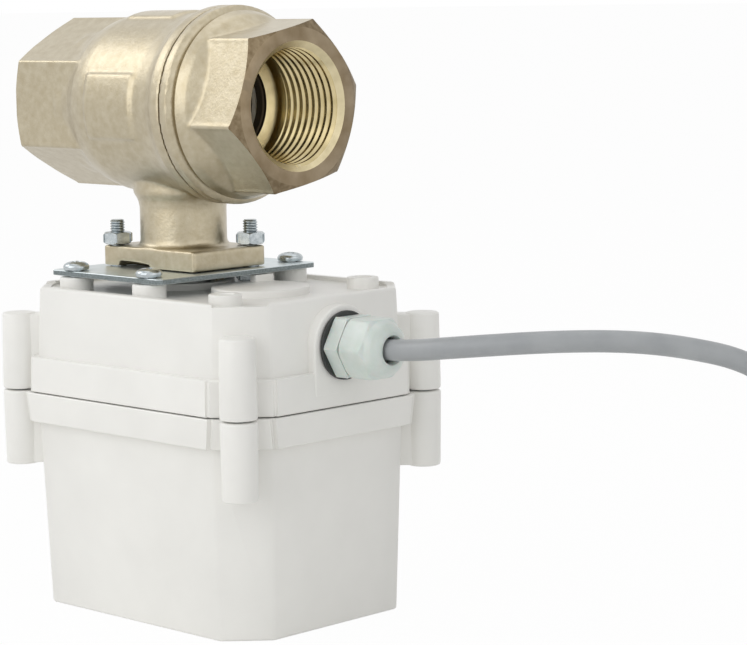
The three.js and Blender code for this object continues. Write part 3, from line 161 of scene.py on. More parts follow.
# Cable
# Round five-core control cable in a grey PVC sheath. It leaves the gland level, rises a little and falls to
# the floor, where the rest of its half metre lies in a loose coil with the ends of the cores stripped.
CABLE_RADIUS = 2.75
GLAND_HEIGHT = 74.4
DOME_FRONT = 78.3
SHEATH_END = 54.0
GAP = 0.3
QUARTER = math.pi / 2
RISE_ROUTE = [(SHEATH_END - DOME_FRONT, 0, 0), (-12.3, 0, 0), (0, 0, 0.1), (10, 0, 1), (20, 0.6, 2.3),
    (29.6, 3.4, 3.4), (38.3, 8.1, 4.2), (45.9, 14.7, 4.5), (53.1, 21.6, 4.4), (60.3, 28.6, 3.7),
    (67.5, 35.5, 2.2)]
FALL_START = (74.5, 42.3, -0.2)
CABLE_HEADING = math.radians(44)
LEAVE_SLOPE = math.radians(17)
DROP_SLOPE = math.radians(86)
SHOULDER_BEND = 24
FLOOR_BEND = 22.5
LAY_LENGTH = 2.5
COIL_RADIUS = 30.6
COIL_PITCH = 6
COIL_LAYER_RISE = 5.95
COIL_TURNS = 1.5
COIL_STEPS_PER_TURN = 48
CLIMB_HALF = 0.25
ROUTE_STEPS = 6
SHEATH_ROUNDNESS = 6


def from_gland(offset):
    return Vector((DOME_FRONT, 0, GLAND_HEIGHT)) + Vector(offset)


fall_start = from_gland(FALL_START)
along = Vector((math.cos(CABLE_HEADING), math.sin(CABLE_HEADING), 0))
shoulder_forward = SHOULDER_BEND * (math.sin(DROP_SLOPE) - math.sin(LEAVE_SLOPE))
shoulder_drop = SHOULDER_BEND * (math.cos(LEAVE_SLOPE) - math.cos(DROP_SLOPE))
straight_drop = fall_start.z - CABLE_RADIUS - shoulder_drop - FLOOR_BEND * (1 - math.cos(DROP_SLOPE))
straight_forward = straight_drop / math.tan(DROP_SLOPE)
floor_forward = shoulder_forward + straight_forward + FLOOR_BEND * math.sin(DROP_SLOPE)


def falling(forward, height):
    place = fall_start + along * forward
    return Vector((place.x, place.y, height))


def shoulder_point(slope):
    return falling(SHOULDER_BEND * (math.sin(slope) - math.sin(LEAVE_SLOPE)),
        fall_start.z - SHOULDER_BEND * (math.cos(LEAVE_SLOPE) - math.cos(slope)))


def floor_point(slope):
    return falling(floor_forward - FLOOR_BEND * math.sin(slope),
        CABLE_RADIUS + FLOOR_BEND * (1 - math.cos(slope)))


def smooth_route(points, steps):
    """Points along the centripetal Catmull-Rom curve through the given ones, as the CAD sweeps it."""
    ends = [points[0] * 2 - points[1], *points, points[-1] * 2 - points[-2]]
    route = []
    for p0, p1, p2, p3 in zip(ends, ends[1:], ends[2:], ends[3:]):
        d0, d1, d2 = [max((b - a).length ** 0.5, 1e-6) for a, b in ((p0, p1), (p1, p2), (p2, p3))]
        t1 = ((p1 - p0) / d0 - (p2 - p0) / (d0 + d1) + (p2 - p1) / d1) * d1
        t2 = ((p2 - p1) / d1 - (p3 - p1) / (d1 + d2) + (p3 - p2) / d2) * d1
        for i in range(steps):
            t = i / steps
            route.append(p1 * (2 * t ** 3 - 3 * t ** 2 + 1) + t1 * (t ** 3 - 2 * t ** 2 + t)
                + p2 * (3 * t ** 2 - 2 * t ** 3) + t2 * (t ** 3 - t ** 2))
    return [*route, points[-1]]


BEND_SHARES = (0, 0.25, 0.5, 0.75, 1)
cable_points = [from_gland(p) for p in RISE_ROUTE]
cable_points += [shoulder_point(LEAVE_SLOPE + s * (DROP_SLOPE - LEAVE_SLOPE)) for s in BEND_SHARES]
cable_points += [falling(shoulder_forward + straight_forward / 2,
    fall_start.z - shoulder_drop - straight_drop / 2)]
cable_points += [floor_point(DROP_SLOPE * (1 - s)) for s in BEND_SHARES]
cable_points += [falling(floor_forward + LAY_LENGTH / 2, CABLE_RADIUS),
    falling(floor_forward + LAY_LENGTH + GAP, CABLE_RADIUS)]

coil_start = falling(floor_forward + LAY_LENGTH + GAP, CABLE_RADIUS)
coil_start_angle = CABLE_HEADING + QUARTER


def on_circle(radius, angle):
    return Vector((radius * math.cos(angle), radius * math.sin(angle), 0))


coil_centre = coil_start + along * (2 * CABLE_RADIUS) - on_circle(COIL_RADIUS, coil_start_angle)


def coil_point(turn):
    half = COIL_TURNS / 2
    radius = COIL_RADIUS - COIL_PITCH * (half - abs(turn - half))
    t = min(max((turn - half + CLIMB_HALF) / (2 * CLIMB_HALF), 0), 1)
    climb = t * t * (3 - 2 * t)
    place = on_circle(radius, coil_start_angle - turn * 2 * math.pi) + coil_centre
    return Vector((place.x, place.y, CABLE_RADIUS + COIL_LAYER_RISE * climb))


coil_end_angle = coil_start_angle - COIL_TURNS * 2 * math.pi - QUARTER
end_run = on_circle(1, coil_end_angle)
end_side = on_circle(1, coil_end_angle - QUARTER)
coil_end = coil_point(COIL_TURNS) + end_run * (2 * CABLE_RADIUS)
turn_steps = round(COIL_TURNS * COIL_STEPS_PER_TURN)
whole_route = smooth_route(cable_points, ROUTE_STEPS)
whole_route += [coil_point(i / COIL_STEPS_PER_TURN) for i in range(turn_steps + 1)] + [coil_end]


def tube_curve(name, points, radius, resolution):
    """A round tube along points in millimetres, as a curve of one open spline with closed ends."""
    data = bpy.data.curves.new(name, "CURVE")
    data.dimensions = "3D"
    data.bevel_depth = radius * MM
    data.bevel_resolution = resolution
    data.use_fill_caps = True
    spline = data.splines.new("POLY")
    spline.points.add(len(points) - 1)
    for made, place in zip(spline.points, points):
        made.co = (*(place * MM), 1)
    spline.use_smooth = True
    made = bpy.data.objects.new(name, data)
    bpy.context.scene.collection.objects.link(made)
    return made


def material(name, base, metallic=0.0, roughness=0.5):
    """A material with one principled shader. Returns it, its tree and its shader."""
    made = bpy.data.materials.new(name)
    made.use_nodes = True
    shader = made.node_tree.nodes["Principled BSDF"]
    shader.inputs["Base Color"].default_value = colour(base)
    shader.inputs["Metallic"].default_value = metallic
    shader.inputs["Roughness"].default_value = roughness
    return made, made.node_tree, shader


def mottled(tree, shader, low, high, size, detail=3.0):
    """Varies the base colour between two sRGB codes by noise of a real size in millimetres."""
    place = add_node(tree, "ShaderNodeTexCoord")
    noise = add_node(tree, "ShaderNodeTexNoise", {"Vector": place.outputs["Object"],
        "Scale": 1 / (size * MM), "Detail": detail})
    ramp = add_node(tree, "ShaderNodeValToRGB", {"Fac": noise.outputs["Fac"]})
    ramp.color_ramp.elements[0].color = colour(low)
    ramp.color_ramp.elements[0].position = 0.3
    ramp.color_ramp.elements[1].color = colour(high)
    ramp.color_ramp.elements[1].position = 0.7
    tree.links.new(ramp.outputs["Color"], shader.inputs["Base Color"])


def grained(tree, shader, size, height, detail=2.0):
    """Adds a bump of noise, its grain and height in millimetres."""
    place = add_node(tree, "ShaderNodeTexCoord")
    noise = add_node(tree, "ShaderNodeTexNoise", {"Vector": place.outputs["Object"],
        "Scale": 1 / (size * MM), "Detail": detail})
    bump = add_node(tree, "ShaderNodeBump", {"Height": noise.outputs["Fac"], "Distance": height * MM,
        "Strength": 1.0})
    if shader.inputs["Normal"].links:
        tree.links.new(shader.inputs["Normal"].links[0].from_socket, bump.inputs["Normal"])
    tree.links.new(bump.outputs["Normal"], shader.inputs["Normal"])


def clouded(name, base, metallic, roughness, low, high, size, detail=3.0, grain=None):
    """A material with a mottled colour and, where a size and a height are given, a grain."""
    made, tree, shader = material(name, base, metallic, roughness)
    mottled(tree, shader, low, high, size, detail)
    if grain:
        grained(tree, shader, *grain)
    return made


pvc_sheath = clouded("grey_pvc_sheath", "#a3a6a8", 0.0, 0.42, "#9a9da0", "#a8abad", 9, grain=(0.5, 0.02))
sheath = tube_curve("cable_sheath", whole_route, CABLE_RADIUS, SHEATH_ROUNDNESS)
sheath.data.materials.append(pvc_sheath)
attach(sheath, "housing")
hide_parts("cable", "cable_coil")

CORE_RADIUS = 0.65
CORE_LENGTH = 25
CORE_SPREAD = 2.6
CORE_ROUNDNESS = 3
CORES = {"brown": ("#60402b", "#734c34", 0), "black": ("#262729", "#303134", -2),
    "grey": ("#868a8d", "#94989b", -1), "blue": ("#365b9d", "#4268b0", 1),
    "green": ("#668f36", "#769f43", 2)}
CORE_SHARES = [(0, 0, 0), (0.15, 0, 0), (0.45, 0.3, 0.3), (0.8, 0.8, 0.88), (1, 1, 1)]
for i, (name, (low, high, rank)) in enumerate(CORES.items()):
    turn = QUARTER + i * 2 * math.pi / len(CORES)
    ring = CABLE_RADIUS - 2 * CORE_RADIUS
    start_height = coil_end.z + ring * math.sin(turn)
    route = []
    for length, spread, fall in CORE_SHARES:
        sideways = ring * math.cos(turn) * (1 - spread) + rank * CORE_SPREAD * spread
        place = coil_end + end_run * (GAP + CORE_LENGTH * length) + end_side * sideways
        route.append(Vector((place.x, place.y, start_height * (1 - fall) + CORE_RADIUS * fall)))
    core = tube_curve(f"core_{name}_insulation", smooth_route(route, ROUTE_STEPS), CORE_RADIUS,
        CORE_ROUNDNESS)
    insulation = clouded(f"pvc_insulation_{name}", low, 0.0, 0.45, low, high, 4, grain=(0.3, 0.01))
    core.data.materials.append(insulation)
    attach(core, "housing")
    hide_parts(f"core_{name}")


# Lower shell of the case
# An injection-moulded ABS tub with cut corners and a proud band under its rim. Its four corner posts are
# counterbored for the screws that pull the two shells together.
CASE_LEFT = -31.55
CASE_RIGHT = 57.7
CASE_HALF_WIDTH = 33.55
CASE_CHAMFER = 10.5
PARTING = 58.5
RIM_HEIGHT = 86.9
WALL = 2.5
SIDE_DRAFT = 1.2
BOTTOM_DRAFT = -1.03
SHELL_TOP = PARTING - GAP / 2
LOWER_BAND_PROUD = 2.5
LOWER_BAND_BOTTOM = 50.4
CHAMFER_BAND_EXTRA = 0.9
BAND_TAPER = 0.3
BAND_EDGE = 0.5
BAND_LIP = 0.2
BAND_LIP_HEIGHT = 0.25
LOWER_BAND_CORNER = 2.2
CORNER_FILLET = 1.1
EDGE_FILLET = 0.7
OVERRUN = 3
FILLET_STEPS = 4
GROOVE_BOTTOM = 56.75
GROOVE_INNER = 0.2
GROOVE_OUTER = 2.2
RAIL_LOW = (49.2, 17.5, 1.2)
RAIL_HIGH = (56.2, 21.7, 42)
RAIL_EDGE = 0.2
BOARD_SLOT_LOW = (51.1, 0, 7.7)
BOARD_SLOT_HIGH = (53.3, 19.8, 50)


def new_piece(name, points, faces):
    """A closed mesh from points in millimetres, with its faces turned outwards."""
    mesh = bpy.data.meshes.new(name)
    mesh.from_pydata([Vector(p) * MM for p in points], [], faces)
    work = bmesh.new()
    work.from_mesh(mesh)
    bmesh.ops.recalc_face_normals(work, faces=work.faces)
    work.to_mesh(mesh)
    work.free()
    made = bpy.data.objects.new(name, mesh)
    bpy.context.scene.collection.objects.link(made)
    return made


def lofted(name, rings):
    """Skin over rings with the same number of points each, closed by a flat face at both ends."""
    count = len(rings[0])
    faces = []
    for low in range(0, (len(rings) - 1) * count, count):
        for i in range(count):
            j = (i + 1) % count
            faces.append((low + i, low + j, low + count + j, low + count + i))
    last = (len(rings) - 1) * count
    faces.append(tuple(range(count - 1, -1, -1)))
    faces.append(tuple(range(last, last + count)))
    return new_piece(name, [p for ring in rings for p in ring], faces)


def rounded_corners(points, radius, steps=FILLET_STEPS):
    """A flat outline with each corner replaced by an arc."""
    outline = []
    for i, corner in enumerate(points):
        corner = Vector(corner)
        back = (Vector(points[i - 1]) - corner).normalized()
        forth = (Vector(points[(i + 1) % len(points)]) - corner).normalized()
        half = back.angle(forth) / 2
        centre = corner + (back + forth).normalized() * radius / math.sin(half)
        start = corner + back * radius / math.tan(half) - centre
        end = corner + forth * radius / math.tan(half) - centre
        for k in range(steps + 1):
            outline.append(centre + start.slerp(end, k / steps) if k not in (0, steps) else
                centre + (start if k == 0 else end))
    return outline


def case_ring(z, grow, chamfer_grow=None, fillet=CORNER_FILLET):
    """The case's outline at a height, grown evenly, or by another amount at the cut corners."""
    chamfer_grow = grow if chamfer_grow is None else chamfer_grow
    x0, x1, y1 = CASE_LEFT - grow, CASE_RIGHT + grow, CASE_HALF_WIDTH + grow
    leg = CASE_CHAMFER + 2 * grow - math.sqrt(2) * chamfer_grow
    outline = [(x0 + leg, -y1), (x1 - leg, -y1), (x1, -y1 + leg), (x1, y1 - leg), (x1 - leg, y1),
        (x0 + leg, y1), (x0, y1 - leg), (x0, -y1 + leg)]
    return [(p.x, p.y, z) for p in rounded_corners(outline, fillet)]


def quarter(count=3):
    """Shares (in, up) along a quarter round, from the flat face to the wall."""
    return [(1 - math.sin(a), 1 - math.cos(a)) for a in [k * QUARTER / count for k in range(count + 1)]]


def turned(name, profile, sides):
    """A piece turned about Z from (radius, height) pairs, on the axis at both ends or closed on itself."""
    points, rows, faces = [], [], []
    for radius, z in profile:
        if radius < 1e-6:
            rows.append([len(points)] * sides)
            points.append((0, 0, z))
            continue
        rows.append(list(range(len(points), len(points) + sides)))
        points += [(radius * math.cos(a), radius * math.sin(a), z)
            for a in [k * 2 * math.pi / sides for k in range(sides)]]
    if profile[0][0] > 1e-6:
        rows.append(rows[0])
    for low, high in zip(rows, rows[1:]):
        for i in range(sides):
            j = (i + 1) % sides
            face = dict.fromkeys((low[i], low[j], high[j], high[i]))
            if len(face) > 2:
                faces.append(tuple(face))
    return new_piece(name, points, faces)


def rod(name, radius, z0, z1, sides=48):
    return turned(name, [(0, z0), (radius, z0), (radius, z1), (0, z1)], sides)


def block(name, low, high, edge=0.0):
    """A rectangular block between two corners, its edges rounded where an edge radius is given."""
    (x0, y0, z0), (x1, y1, z1) = low, high
    made = lofted(name, [[(x0, y0, z), (x1, y0, z), (x1, y1, z), (x0, y1, z)] for z in (z0, z1)])
    if edge:
        work = bmesh.new()
        work.from_mesh(made.data)
        bmesh.ops.bevel(work, geom=work.edges[:], offset=edge * MM, segments=3, profile=0.5, affect="EDGES")
        work.to_mesh(made.data)
        work.free()
    return made


def put(made, x=0.0, y=0.0, z=0.0, turn=0.0):
    """Turns a piece about Z and moves it, in its mesh."""
    made.data.transform(Matrix.Translation(Vector((x, y, z)) * MM) @ Matrix.Rotation(turn, 4, "Z"))
    return made


def lay_along_x(made, height, face=0.0, outwards=1):
    """Lays a piece made along Z along X at a height, from x = face towards +X or, with -1, towards -X."""
    made.data.transform(Matrix(((0, 0, outwards, face * MM), (0, outwards, 0, 0), (-1, 0, 0, height * MM),
        (0, 0, 0, 1))))
    return made


def settle(made):
    """Applies a piece's modifiers to its mesh."""
    mesh = bpy.data.meshes.new_from_object(made.evaluated_get(bpy.context.evaluated_depsgraph_get()))
    made.modifiers.clear()
    made.data = mesh
    return made


def combine(base, others, operation, solver="EXACT"):
    """Joins, cuts or intersects a piece with others, which are used up."""
    for other in others:
        step = base.modifiers.new("combine", "BOOLEAN")
        step.operation = operation
        step.solver = solver
        step.object = other
    settle(base)
    for other in others:
        bpy.data.objects.remove(other)
    return base


def join(base, *others):
    return combine(base, others, "UNION")


def cut(base, *others):
    return combine(base, others, "DIFFERENCE")


def dress(made, finish, body, slot, *nodes, angle=35):
    """Shades a finished piece smooth up to an angle, gives it its material and body and hides the CAD nodes
    it stands for. The slot is not used.
    """
    made.data.shade_smooth()
    made.data.set_sharp_from_angle(angle=math.radians(angle))
    if finish:
        made.data.materials.clear()
        made.data.materials.append(finish)
    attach(made, body)
    if nodes:
        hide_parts(*nodes)
    return made


POST_RADIUS = 4.85
POST_TIP_RADIUS = 4.55
POST_EDGE = 0.6
POST_BOTTOM = 38.0
POST_TOP = 79.4
WEB_WIDTH = 6.4
WEB_LENGTH = 9.7
POST_LEFT_INSET = 1.3
POST_RIGHT_INSET = 0.7
POST_OUTSET = 0.15
COUNTERBORE_RADIUS = 3.7
COUNTERBORE_DEPTH = 5
SCREW_HOLE_RADIUS = 2.3
CORNERS = [(-1, -1), (1, -1), (1, 1), (-1, 1)]
CASE_MIDDLE = (CASE_LEFT + CASE_RIGHT) / 2
POST_PLACES = [(CASE_LEFT + POST_LEFT_INSET if sx < 0 else CASE_RIGHT - POST_RIGHT_INSET,
    sy * (CASE_HALF_WIDTH + POST_OUTSET)) for sx, sy in CORNERS]


def corner_posts(z0, z1, low_radius, high_radius):
    """The four posts of one shell with their webs to the cut corners."""
    made = []
    for x, y in POST_PLACES:
        foot = [(low_radius - POST_EDGE * i, z0 + POST_EDGE * u) for i, u in quarter()]
        head = [(high_radius - POST_EDGE * i, z1 - POST_EDGE * u) for i, u in reversed(quarter())]
        made.append(put(turned("post", [(0, z0), *foot, *head, (0, z1)], 40), x, y))
        inward = math.atan2(-math.copysign(1, y), math.copysign(1, CASE_MIDDLE - x))
        half = WEB_WIDTH / 2
        made.append(put(block("web", (0, -half, z0 + GAP), (WEB_LENGTH, half, z1 - GAP), 0.5), x,
            y, 0, inward))
    return made


bottom_edge = [(EDGE_FILLET * u, BOTTOM_DRAFT - EDGE_FILLET * i) for i, u in quarter()]
lower = lofted("lower_shell", [case_ring(z, grow) for z, grow in [*bottom_edge, (SHELL_TOP, SIDE_DRAFT)]])
band_grow = SIDE_DRAFT + LOWER_BAND_PROUD
band_profile = [(LOWER_BAND_BOTTOM + BAND_EDGE * u, band_grow - BAND_TAPER - BAND_EDGE * i, -BAND_EDGE * i)
    for i, u in quarter()]
band_profile += [(SHELL_TOP - BAND_LIP_HEIGHT, band_grow, CHAMFER_BAND_EXTRA),
    (SHELL_TOP, band_grow - BAND_LIP, CHAMFER_BAND_EXTRA - BAND_LIP)]
band = lofted("band", [case_ring(z, grow, band_grow + extra, LOWER_BAND_CORNER)
    for z, grow, extra in band_profile])
cavity = lofted("cavity", [case_ring(WALL, BOTTOM_DRAFT - WALL), case_ring(SHELL_TOP, SIDE_DRAFT - WALL),
    case_ring(SHELL_TOP + OVERRUN, SIDE_DRAFT - WALL)])
screw_holes = [put(turned("hole", [(0, POST_BOTTOM - OVERRUN), (COUNTERBORE_RADIUS, POST_BOTTOM - OVERRUN),
    (COUNTERBORE_RADIUS, POST_BOTTOM + COUNTERBORE_DEPTH),
    (SCREW_HOLE_RADIUS, POST_BOTTOM + COUNTERBORE_DEPTH), (SCREW_HOLE_RADIUS, SHELL_TOP + OVERRUN),
    (0, SHELL_TOP + OVERRUN)], 32), x, y) for x, y in POST_PLACES]
groove = lofted("groove", [case_ring(z, GROOVE_OUTER) for z in (GROOVE_BOTTOM, SHELL_TOP + OVERRUN)])
cut(groove, lofted("inner", [case_ring(z, GROOVE_INNER)
    for z in (GROOVE_BOTTOM - 1, SHELL_TOP + OVERRUN + 1)]))
rails = []
for side in (-1, 1):
    corners = [(x, side * y, z) for x, y, z in (RAIL_LOW, RAIL_HIGH, BOARD_SLOT_LOW, BOARD_SLOT_HIGH)]
    rails.append(cut(block("rail", *corners[:2], RAIL_EDGE), block("slot", *corners[2:])))
join(lower, band, *corner_posts(POST_BOTTOM, SHELL_TOP, POST_TIP_RADIUS, POST_RADIUS))
join(cut(lower, cavity, groove, *screw_holes), *rails)

# The shells' ABS: white, satin, with the very fine spark-eroded grain of the mould
white_abs, tree, shader = material("white_moulded_abs", "#eeede9", 0.0, 0.38)
mottled(tree, shader, "#ecebe7", "#f0efeb", 14)
grained(tree, shader, 0.45, 0.012)
grained(tree, shader, 9, 0.05, 1.0)
dress(lower, white_abs, "housing", "white_case", "lower_case")


# Upper shell of the case
# The lid of the same ABS. Its sunk top carries four short bosses for the steel plate, its end wall a round
# pad for the cable gland, and small bosses stand over the gear train's screws.
BAND_PROUD = 2.0
BAND_TOP = 68.1
LID_BAND_EDGE = 0.6
LID_BAND_CORNER = 1.6
LID_BOTTOM = PARTING + GAP / 2
TOP_FLOOR = 85.7
RIM_WIDTH = 2.2
CHAMFER_RIM_DROP = 0.7
CEILING = 83.2
PAD_RADIUS = 10.5
PAD_FRONT = 60.9
PAD_LOW = 62.0
PAD_DEPTH = 6
PAD_EDGE = 0.6
PLATE_BOTTOM = 89.7
PLATE_SCREW_X = 14.9
PLATE_SCREW_Y = 25.7

rim_edge = [(RIM_HEIGHT - EDGE_FILLET * u, -EDGE_FILLET * i) for i, u in reversed(quarter())]
lid = lofted("upper_shell", [case_ring(z, grow) for z, grow in [(LID_BOTTOM, SIDE_DRAFT), *rim_edge]])
lid_band_grow = SIDE_DRAFT + BAND_PROUD
band_profile = [(LID_BOTTOM, lid_band_grow - BAND_LIP), (LID_BOTTOM + BAND_LIP_HEIGHT, lid_band_grow)]
band_profile += [(BAND_TOP - LID_BAND_EDGE * u, lid_band_grow - BAND_TAPER - LID_BAND_EDGE * i)
    for i, u in reversed(quarter())]
band = lofted("band", [case_ring(z, grow, None, LID_BAND_CORNER) for z, grow in band_profile])
pad_arc = [(PAD_RADIUS * math.cos(a), GLAND_HEIGHT + PAD_RADIUS * math.sin(a))
    for a in [k * math.pi / 32 for k in range(33)]]


def pad_ring(x, inset):
    share = 1 - inset / PAD_RADIUS
    arc = [(y * share, GLAND_HEIGHT + (z - GLAND_HEIGHT) * share) for y, z in pad_arc]
    return [(x, y, z) for y, z in [(PAD_RADIUS - inset, PAD_LOW), *arc, (-PAD_RADIUS + inset, PAD_LOW)]]


pad = lofted("pad", [pad_ring(PAD_FRONT - PAD_DEPTH, 0)] + [pad_ring(PAD_FRONT - PAD_EDGE * u, PAD_EDGE * i)
    for i, u in reversed(quarter())])
recess = lofted("recess", [case_ring(z, -RIM_WIDTH - inset) for z, inset in
    [(TOP_FLOOR, 0.4), (TOP_FLOOR + 0.12, 0.12), (TOP_FLOOR + 0.4, 0), (RIM_HEIGHT + OVERRUN, 0)]])
notches = []
for sx, sy in CORNERS:
    half = CASE_CHAMFER / math.sqrt(2) - 0.3
    notch = block("notch", (-RIM_WIDTH - 0.5, -half, RIM_HEIGHT - CHAMFER_RIM_DROP),
        (OVERRUN, half, RIM_HEIGHT + 3))
    side = CASE_RIGHT if sx > 0 else CASE_LEFT
    notches.append(put(notch, side - sx * CASE_CHAMFER / 2, sy * (CASE_HALF_WIDTH - CASE_CHAMFER / 2), 0,
        math.atan2(sy, sx)))
cavity = lofted("cavity", [case_ring(LID_BOTTOM - OVERRUN, SIDE_DRAFT - WALL),
    case_ring(LID_BOTTOM, SIDE_DRAFT - WALL), case_ring(CEILING, -WALL)])
join(lid, band, pad, *corner_posts(LID_BOTTOM + GAP / 2, POST_TOP, POST_RADIUS, POST_TIP_RADIUS))
cut(lid, recess, cavity, *notches)


def boss(radius, top, x, y, edge=0.4, bottom=CEILING - 0.5):
    """A round boss whose top edge is slightly rounded."""
    head = [(radius - edge * i, top - edge * u) for i, u in reversed(quarter())]
    return put(turned("boss", [(0, bottom), (radius, bottom), *head, (0, top)], 48), x, y)


BOSS_TOP = PLATE_BOTTOM - GAP
DISC_X = 30.0
DISC_TOP = TOP_FLOOR + 1.9
GEAR_BOSSES = [(43.5, -25.0), (43.5, 25.0)]
REAR_GEAR_BOSSES = [(-22.5, -23.0), (-22.5, 23.0)]
AXLE_PLACE = (25.99, -9.0)
PLATE_BOSS_RADIUS = 4.5
GEAR_BOSS_RADIUS = 4.3
GEAR_BOSS_TOP = TOP_FLOOR + 3.0
DISC_RADIUS = 13.1
RIB_LOW = (20.0, 5.6, TOP_FLOOR)
RIB_HIGH = (22.4, 12.2, BOSS_TOP)
HUB_INNER = 11.1
HUB_OUTER = 13.6
HUB_BOTTOM = 76.0
HUB_TOP = TOP_FLOOR + 1.8
GEAR_POST_BOTTOM = 58.1
AXLE_BOSS_BOTTOM = 72.2
POST_HOLE_TOP = 70.3
PLATE_HOLE_BOTTOM = 81.4
GEAR_HOLE_RADIUS = 1.8
GEAR_HOLE_START = 57
AXLE_HOLE_START = 71
HUB_BORE_SPAN = (70, 90)
GEAR_HOLE_TOP = 66.1
AXLE_HOLE_TOP = 79.3
GLAND_HOLE_RADIUS = 6.5
bosses = [boss(PLATE_BOSS_RADIUS, BOSS_TOP, sx * PLATE_SCREW_X, sy * PLATE_SCREW_Y) for sx, sy in CORNERS]
bosses += [boss(GEAR_BOSS_RADIUS, GEAR_BOSS_TOP, x, y) for x, y in GEAR_BOSSES]
bosses += [boss(DISC_RADIUS, DISC_TOP, DISC_X, 0)]
bosses += [block("rib", RIB_LOW, RIB_HIGH, 0.3)]
hub = turned("hub", [(HUB_INNER, HUB_BOTTOM), (HUB_OUTER, HUB_BOTTOM), (HUB_OUTER, HUB_TOP),
    (HUB_INNER, HUB_TOP)], 64)
posts = [put(rod("post", GEAR_BOSS_RADIUS, GEAR_POST_BOTTOM, CEILING + 0.5, 40), x, y)
    for x, y in [*GEAR_BOSSES, *REAR_GEAR_BOSSES]]
posts += [put(rod("axle_boss", GEAR_BOSS_RADIUS, AXLE_BOSS_BOTTOM, CEILING + 0.5, 40), *AXLE_PLACE)]
join(lid, *bosses, hub, *posts)
holes = [put(rod("hole", SCREW_HOLE_RADIUS, LID_BOTTOM - 1, POST_HOLE_TOP, 24), x, y)
    for x, y in POST_PLACES]
holes += [put(rod("hole", SCREW_HOLE_RADIUS, PLATE_HOLE_BOTTOM, BOSS_TOP + 1, 24), sx * PLATE_SCREW_X,
    sy * PLATE_SCREW_Y) for sx, sy in CORNERS]
holes += [put(rod("hole", GEAR_HOLE_RADIUS, GEAR_HOLE_START, GEAR_HOLE_TOP, 24), x, y)
    for x, y in [*GEAR_BOSSES, *REAR_GEAR_BOSSES]]
holes += [put(rod("hole", SCREW_HOLE_RADIUS, AXLE_HOLE_START, AXLE_HOLE_TOP, 24), *AXLE_PLACE)]
dimples = [put(turned("dimple", [(0, TOP_FLOOR + 2.5), (2.2, TOP_FLOOR + 2.6), (2.6, TOP_FLOOR + 3.2),
    (0, TOP_FLOOR + 4)], 32), x, y) for x, y in GEAR_BOSSES]
gland_hole = lay_along_x(rod("hole", GLAND_HOLE_RADIUS, PAD_FRONT - 12, PAD_FRONT + OVERRUN), GLAND_HEIGHT)
cut(lid, *dimples, *holes, gland_hole, rod("hole", HUB_INNER, *HUB_BORE_SPAN, 64))
dress(lid, white_abs, "housing", "white_case", "upper_case")


# Valve body
# Hot-forged brass, shot-blasted and nickel plated to a matt champagne, then turned and threaded at its far
# end. The forging's edges are soft; a round neck stands on the square mounting flange.
PIPE_HEIGHT = 135.3
FACE_TO_AXIS = 45.8
THREAD_MAJOR = 33.249 / 2
THREAD_MINOR = 30.291 / 2
THREAD_PITCH = 2.309
THREAD_LEAD_IN = 1.85
THREAD_TURNS = 8
END_FACE_RADIUS = THREAD_MAJOR + 3.85
MOUTH_RADIUS = THREAD_MAJOR + 0.33
RELIEF_RADIUS = 15.9
WATERWAY_START = 20.2
PORT_RADIUS = 12.5
BALL_RADIUS = 19.0
CAVITY_RADIUS = 20.3
SPIGOT_RADIUS = 21.6
BARREL_RADIUS = 24.4
FLANGE_RADIUS = 26.3
SEAM = 20.6
HEX_SHARE = 1 / math.cos(math.pi / 6)
BODY_HEX_RADIUS = (THREAD_MAJOR + 3.55) * HEX_SHARE
BLOCK_BOTTOM = 91.4
BLOCK_TOP = 96.9
BLOCK_X = 18.4
BLOCK_Y = 13.1
NECK_RADIUS = 11.8
STEM_RADIUS = 5.8
COLLAR_RADIUS = 7.6
COLLAR_SEAT = 110.6
TANG_TOP = 117.9
SHANK_RADIUS = 2.0
BOLT_X = 15.2
BOLT_Y = 10.6
SEAT_WIDTH = 4.2
SEAT_THICKNESS = 1.8
SEAT_CLEARANCE = 0.4
SEAT_POCKET = PORT_RADIUS + SEAT_WIDTH + GAP
SEAT_BACK = math.sqrt((BALL_RADIUS + SEAT_CLEARANCE) ** 2 - (PORT_RADIUS + GAP) ** 2) + SEAT_THICKNESS + GAP
FORGING_GRAIN = 0.5
SMOOTHING = 5
ENVELOPE_MARGIN = 26
ENVELOPE_LENGTH = 80
SEAT_POCKET_END = 16.68
CAVITY_HALF = 11.5
THREAD_DEPTH = 1.15
THREAD_HALF_WIDTH = 1.0
THREAD_START_INSET = 0.25
THREAD_END_INSET = 0.6
THREAD_RUN_OUT = 0.6
BARREL_PAD_SPAN = (-11, 7.4)
BARREL_PAD_RISE = 0.7
BARREL_PAD_HALF_WIDTH = 8.6
BARREL_PAD_REACH = (30, 14)
FLANGE_SLOT_SPAN = (-12.4, 0.3)
FLANGE_SLOT_DEPTH = 5
FLANGE_SLOT_HEIGHT = 1.3
HEX_EDGE = 0.7
BODY_HEX_LENGTH = FACE_TO_AXIS - 12.5
BLOCK_EDGE = 0.9


def regular(count, radius, turn, fillet=0.5):
    points = [(radius * math.cos(turn + k * 2 * math.pi / count),
        radius * math.sin(turn + k * 2 * math.pi / count)) for k in range(count)]
    return [(p.x, p.y) for p in rounded_corners(points, fillet)]


def prism(name, outline, z0, z1):
    return lofted(name, [[(x, y, z) for x, y in outline] for z in (z0, z1)])


def forged(made, grain=FORGING_GRAIN):
    """Gives a blank the soft edges of a forging: a fine even mesh, smoothed."""
    step = made.modifiers.new("even_mesh", "REMESH")
    step.mode = "VOXEL"
    step.voxel_size = grain * MM
    step = made.modifiers.new("soft_edges", "SMOOTH")
    step.factor = 0.5
    step.iterations = SMOOTHING
    return settle(made)


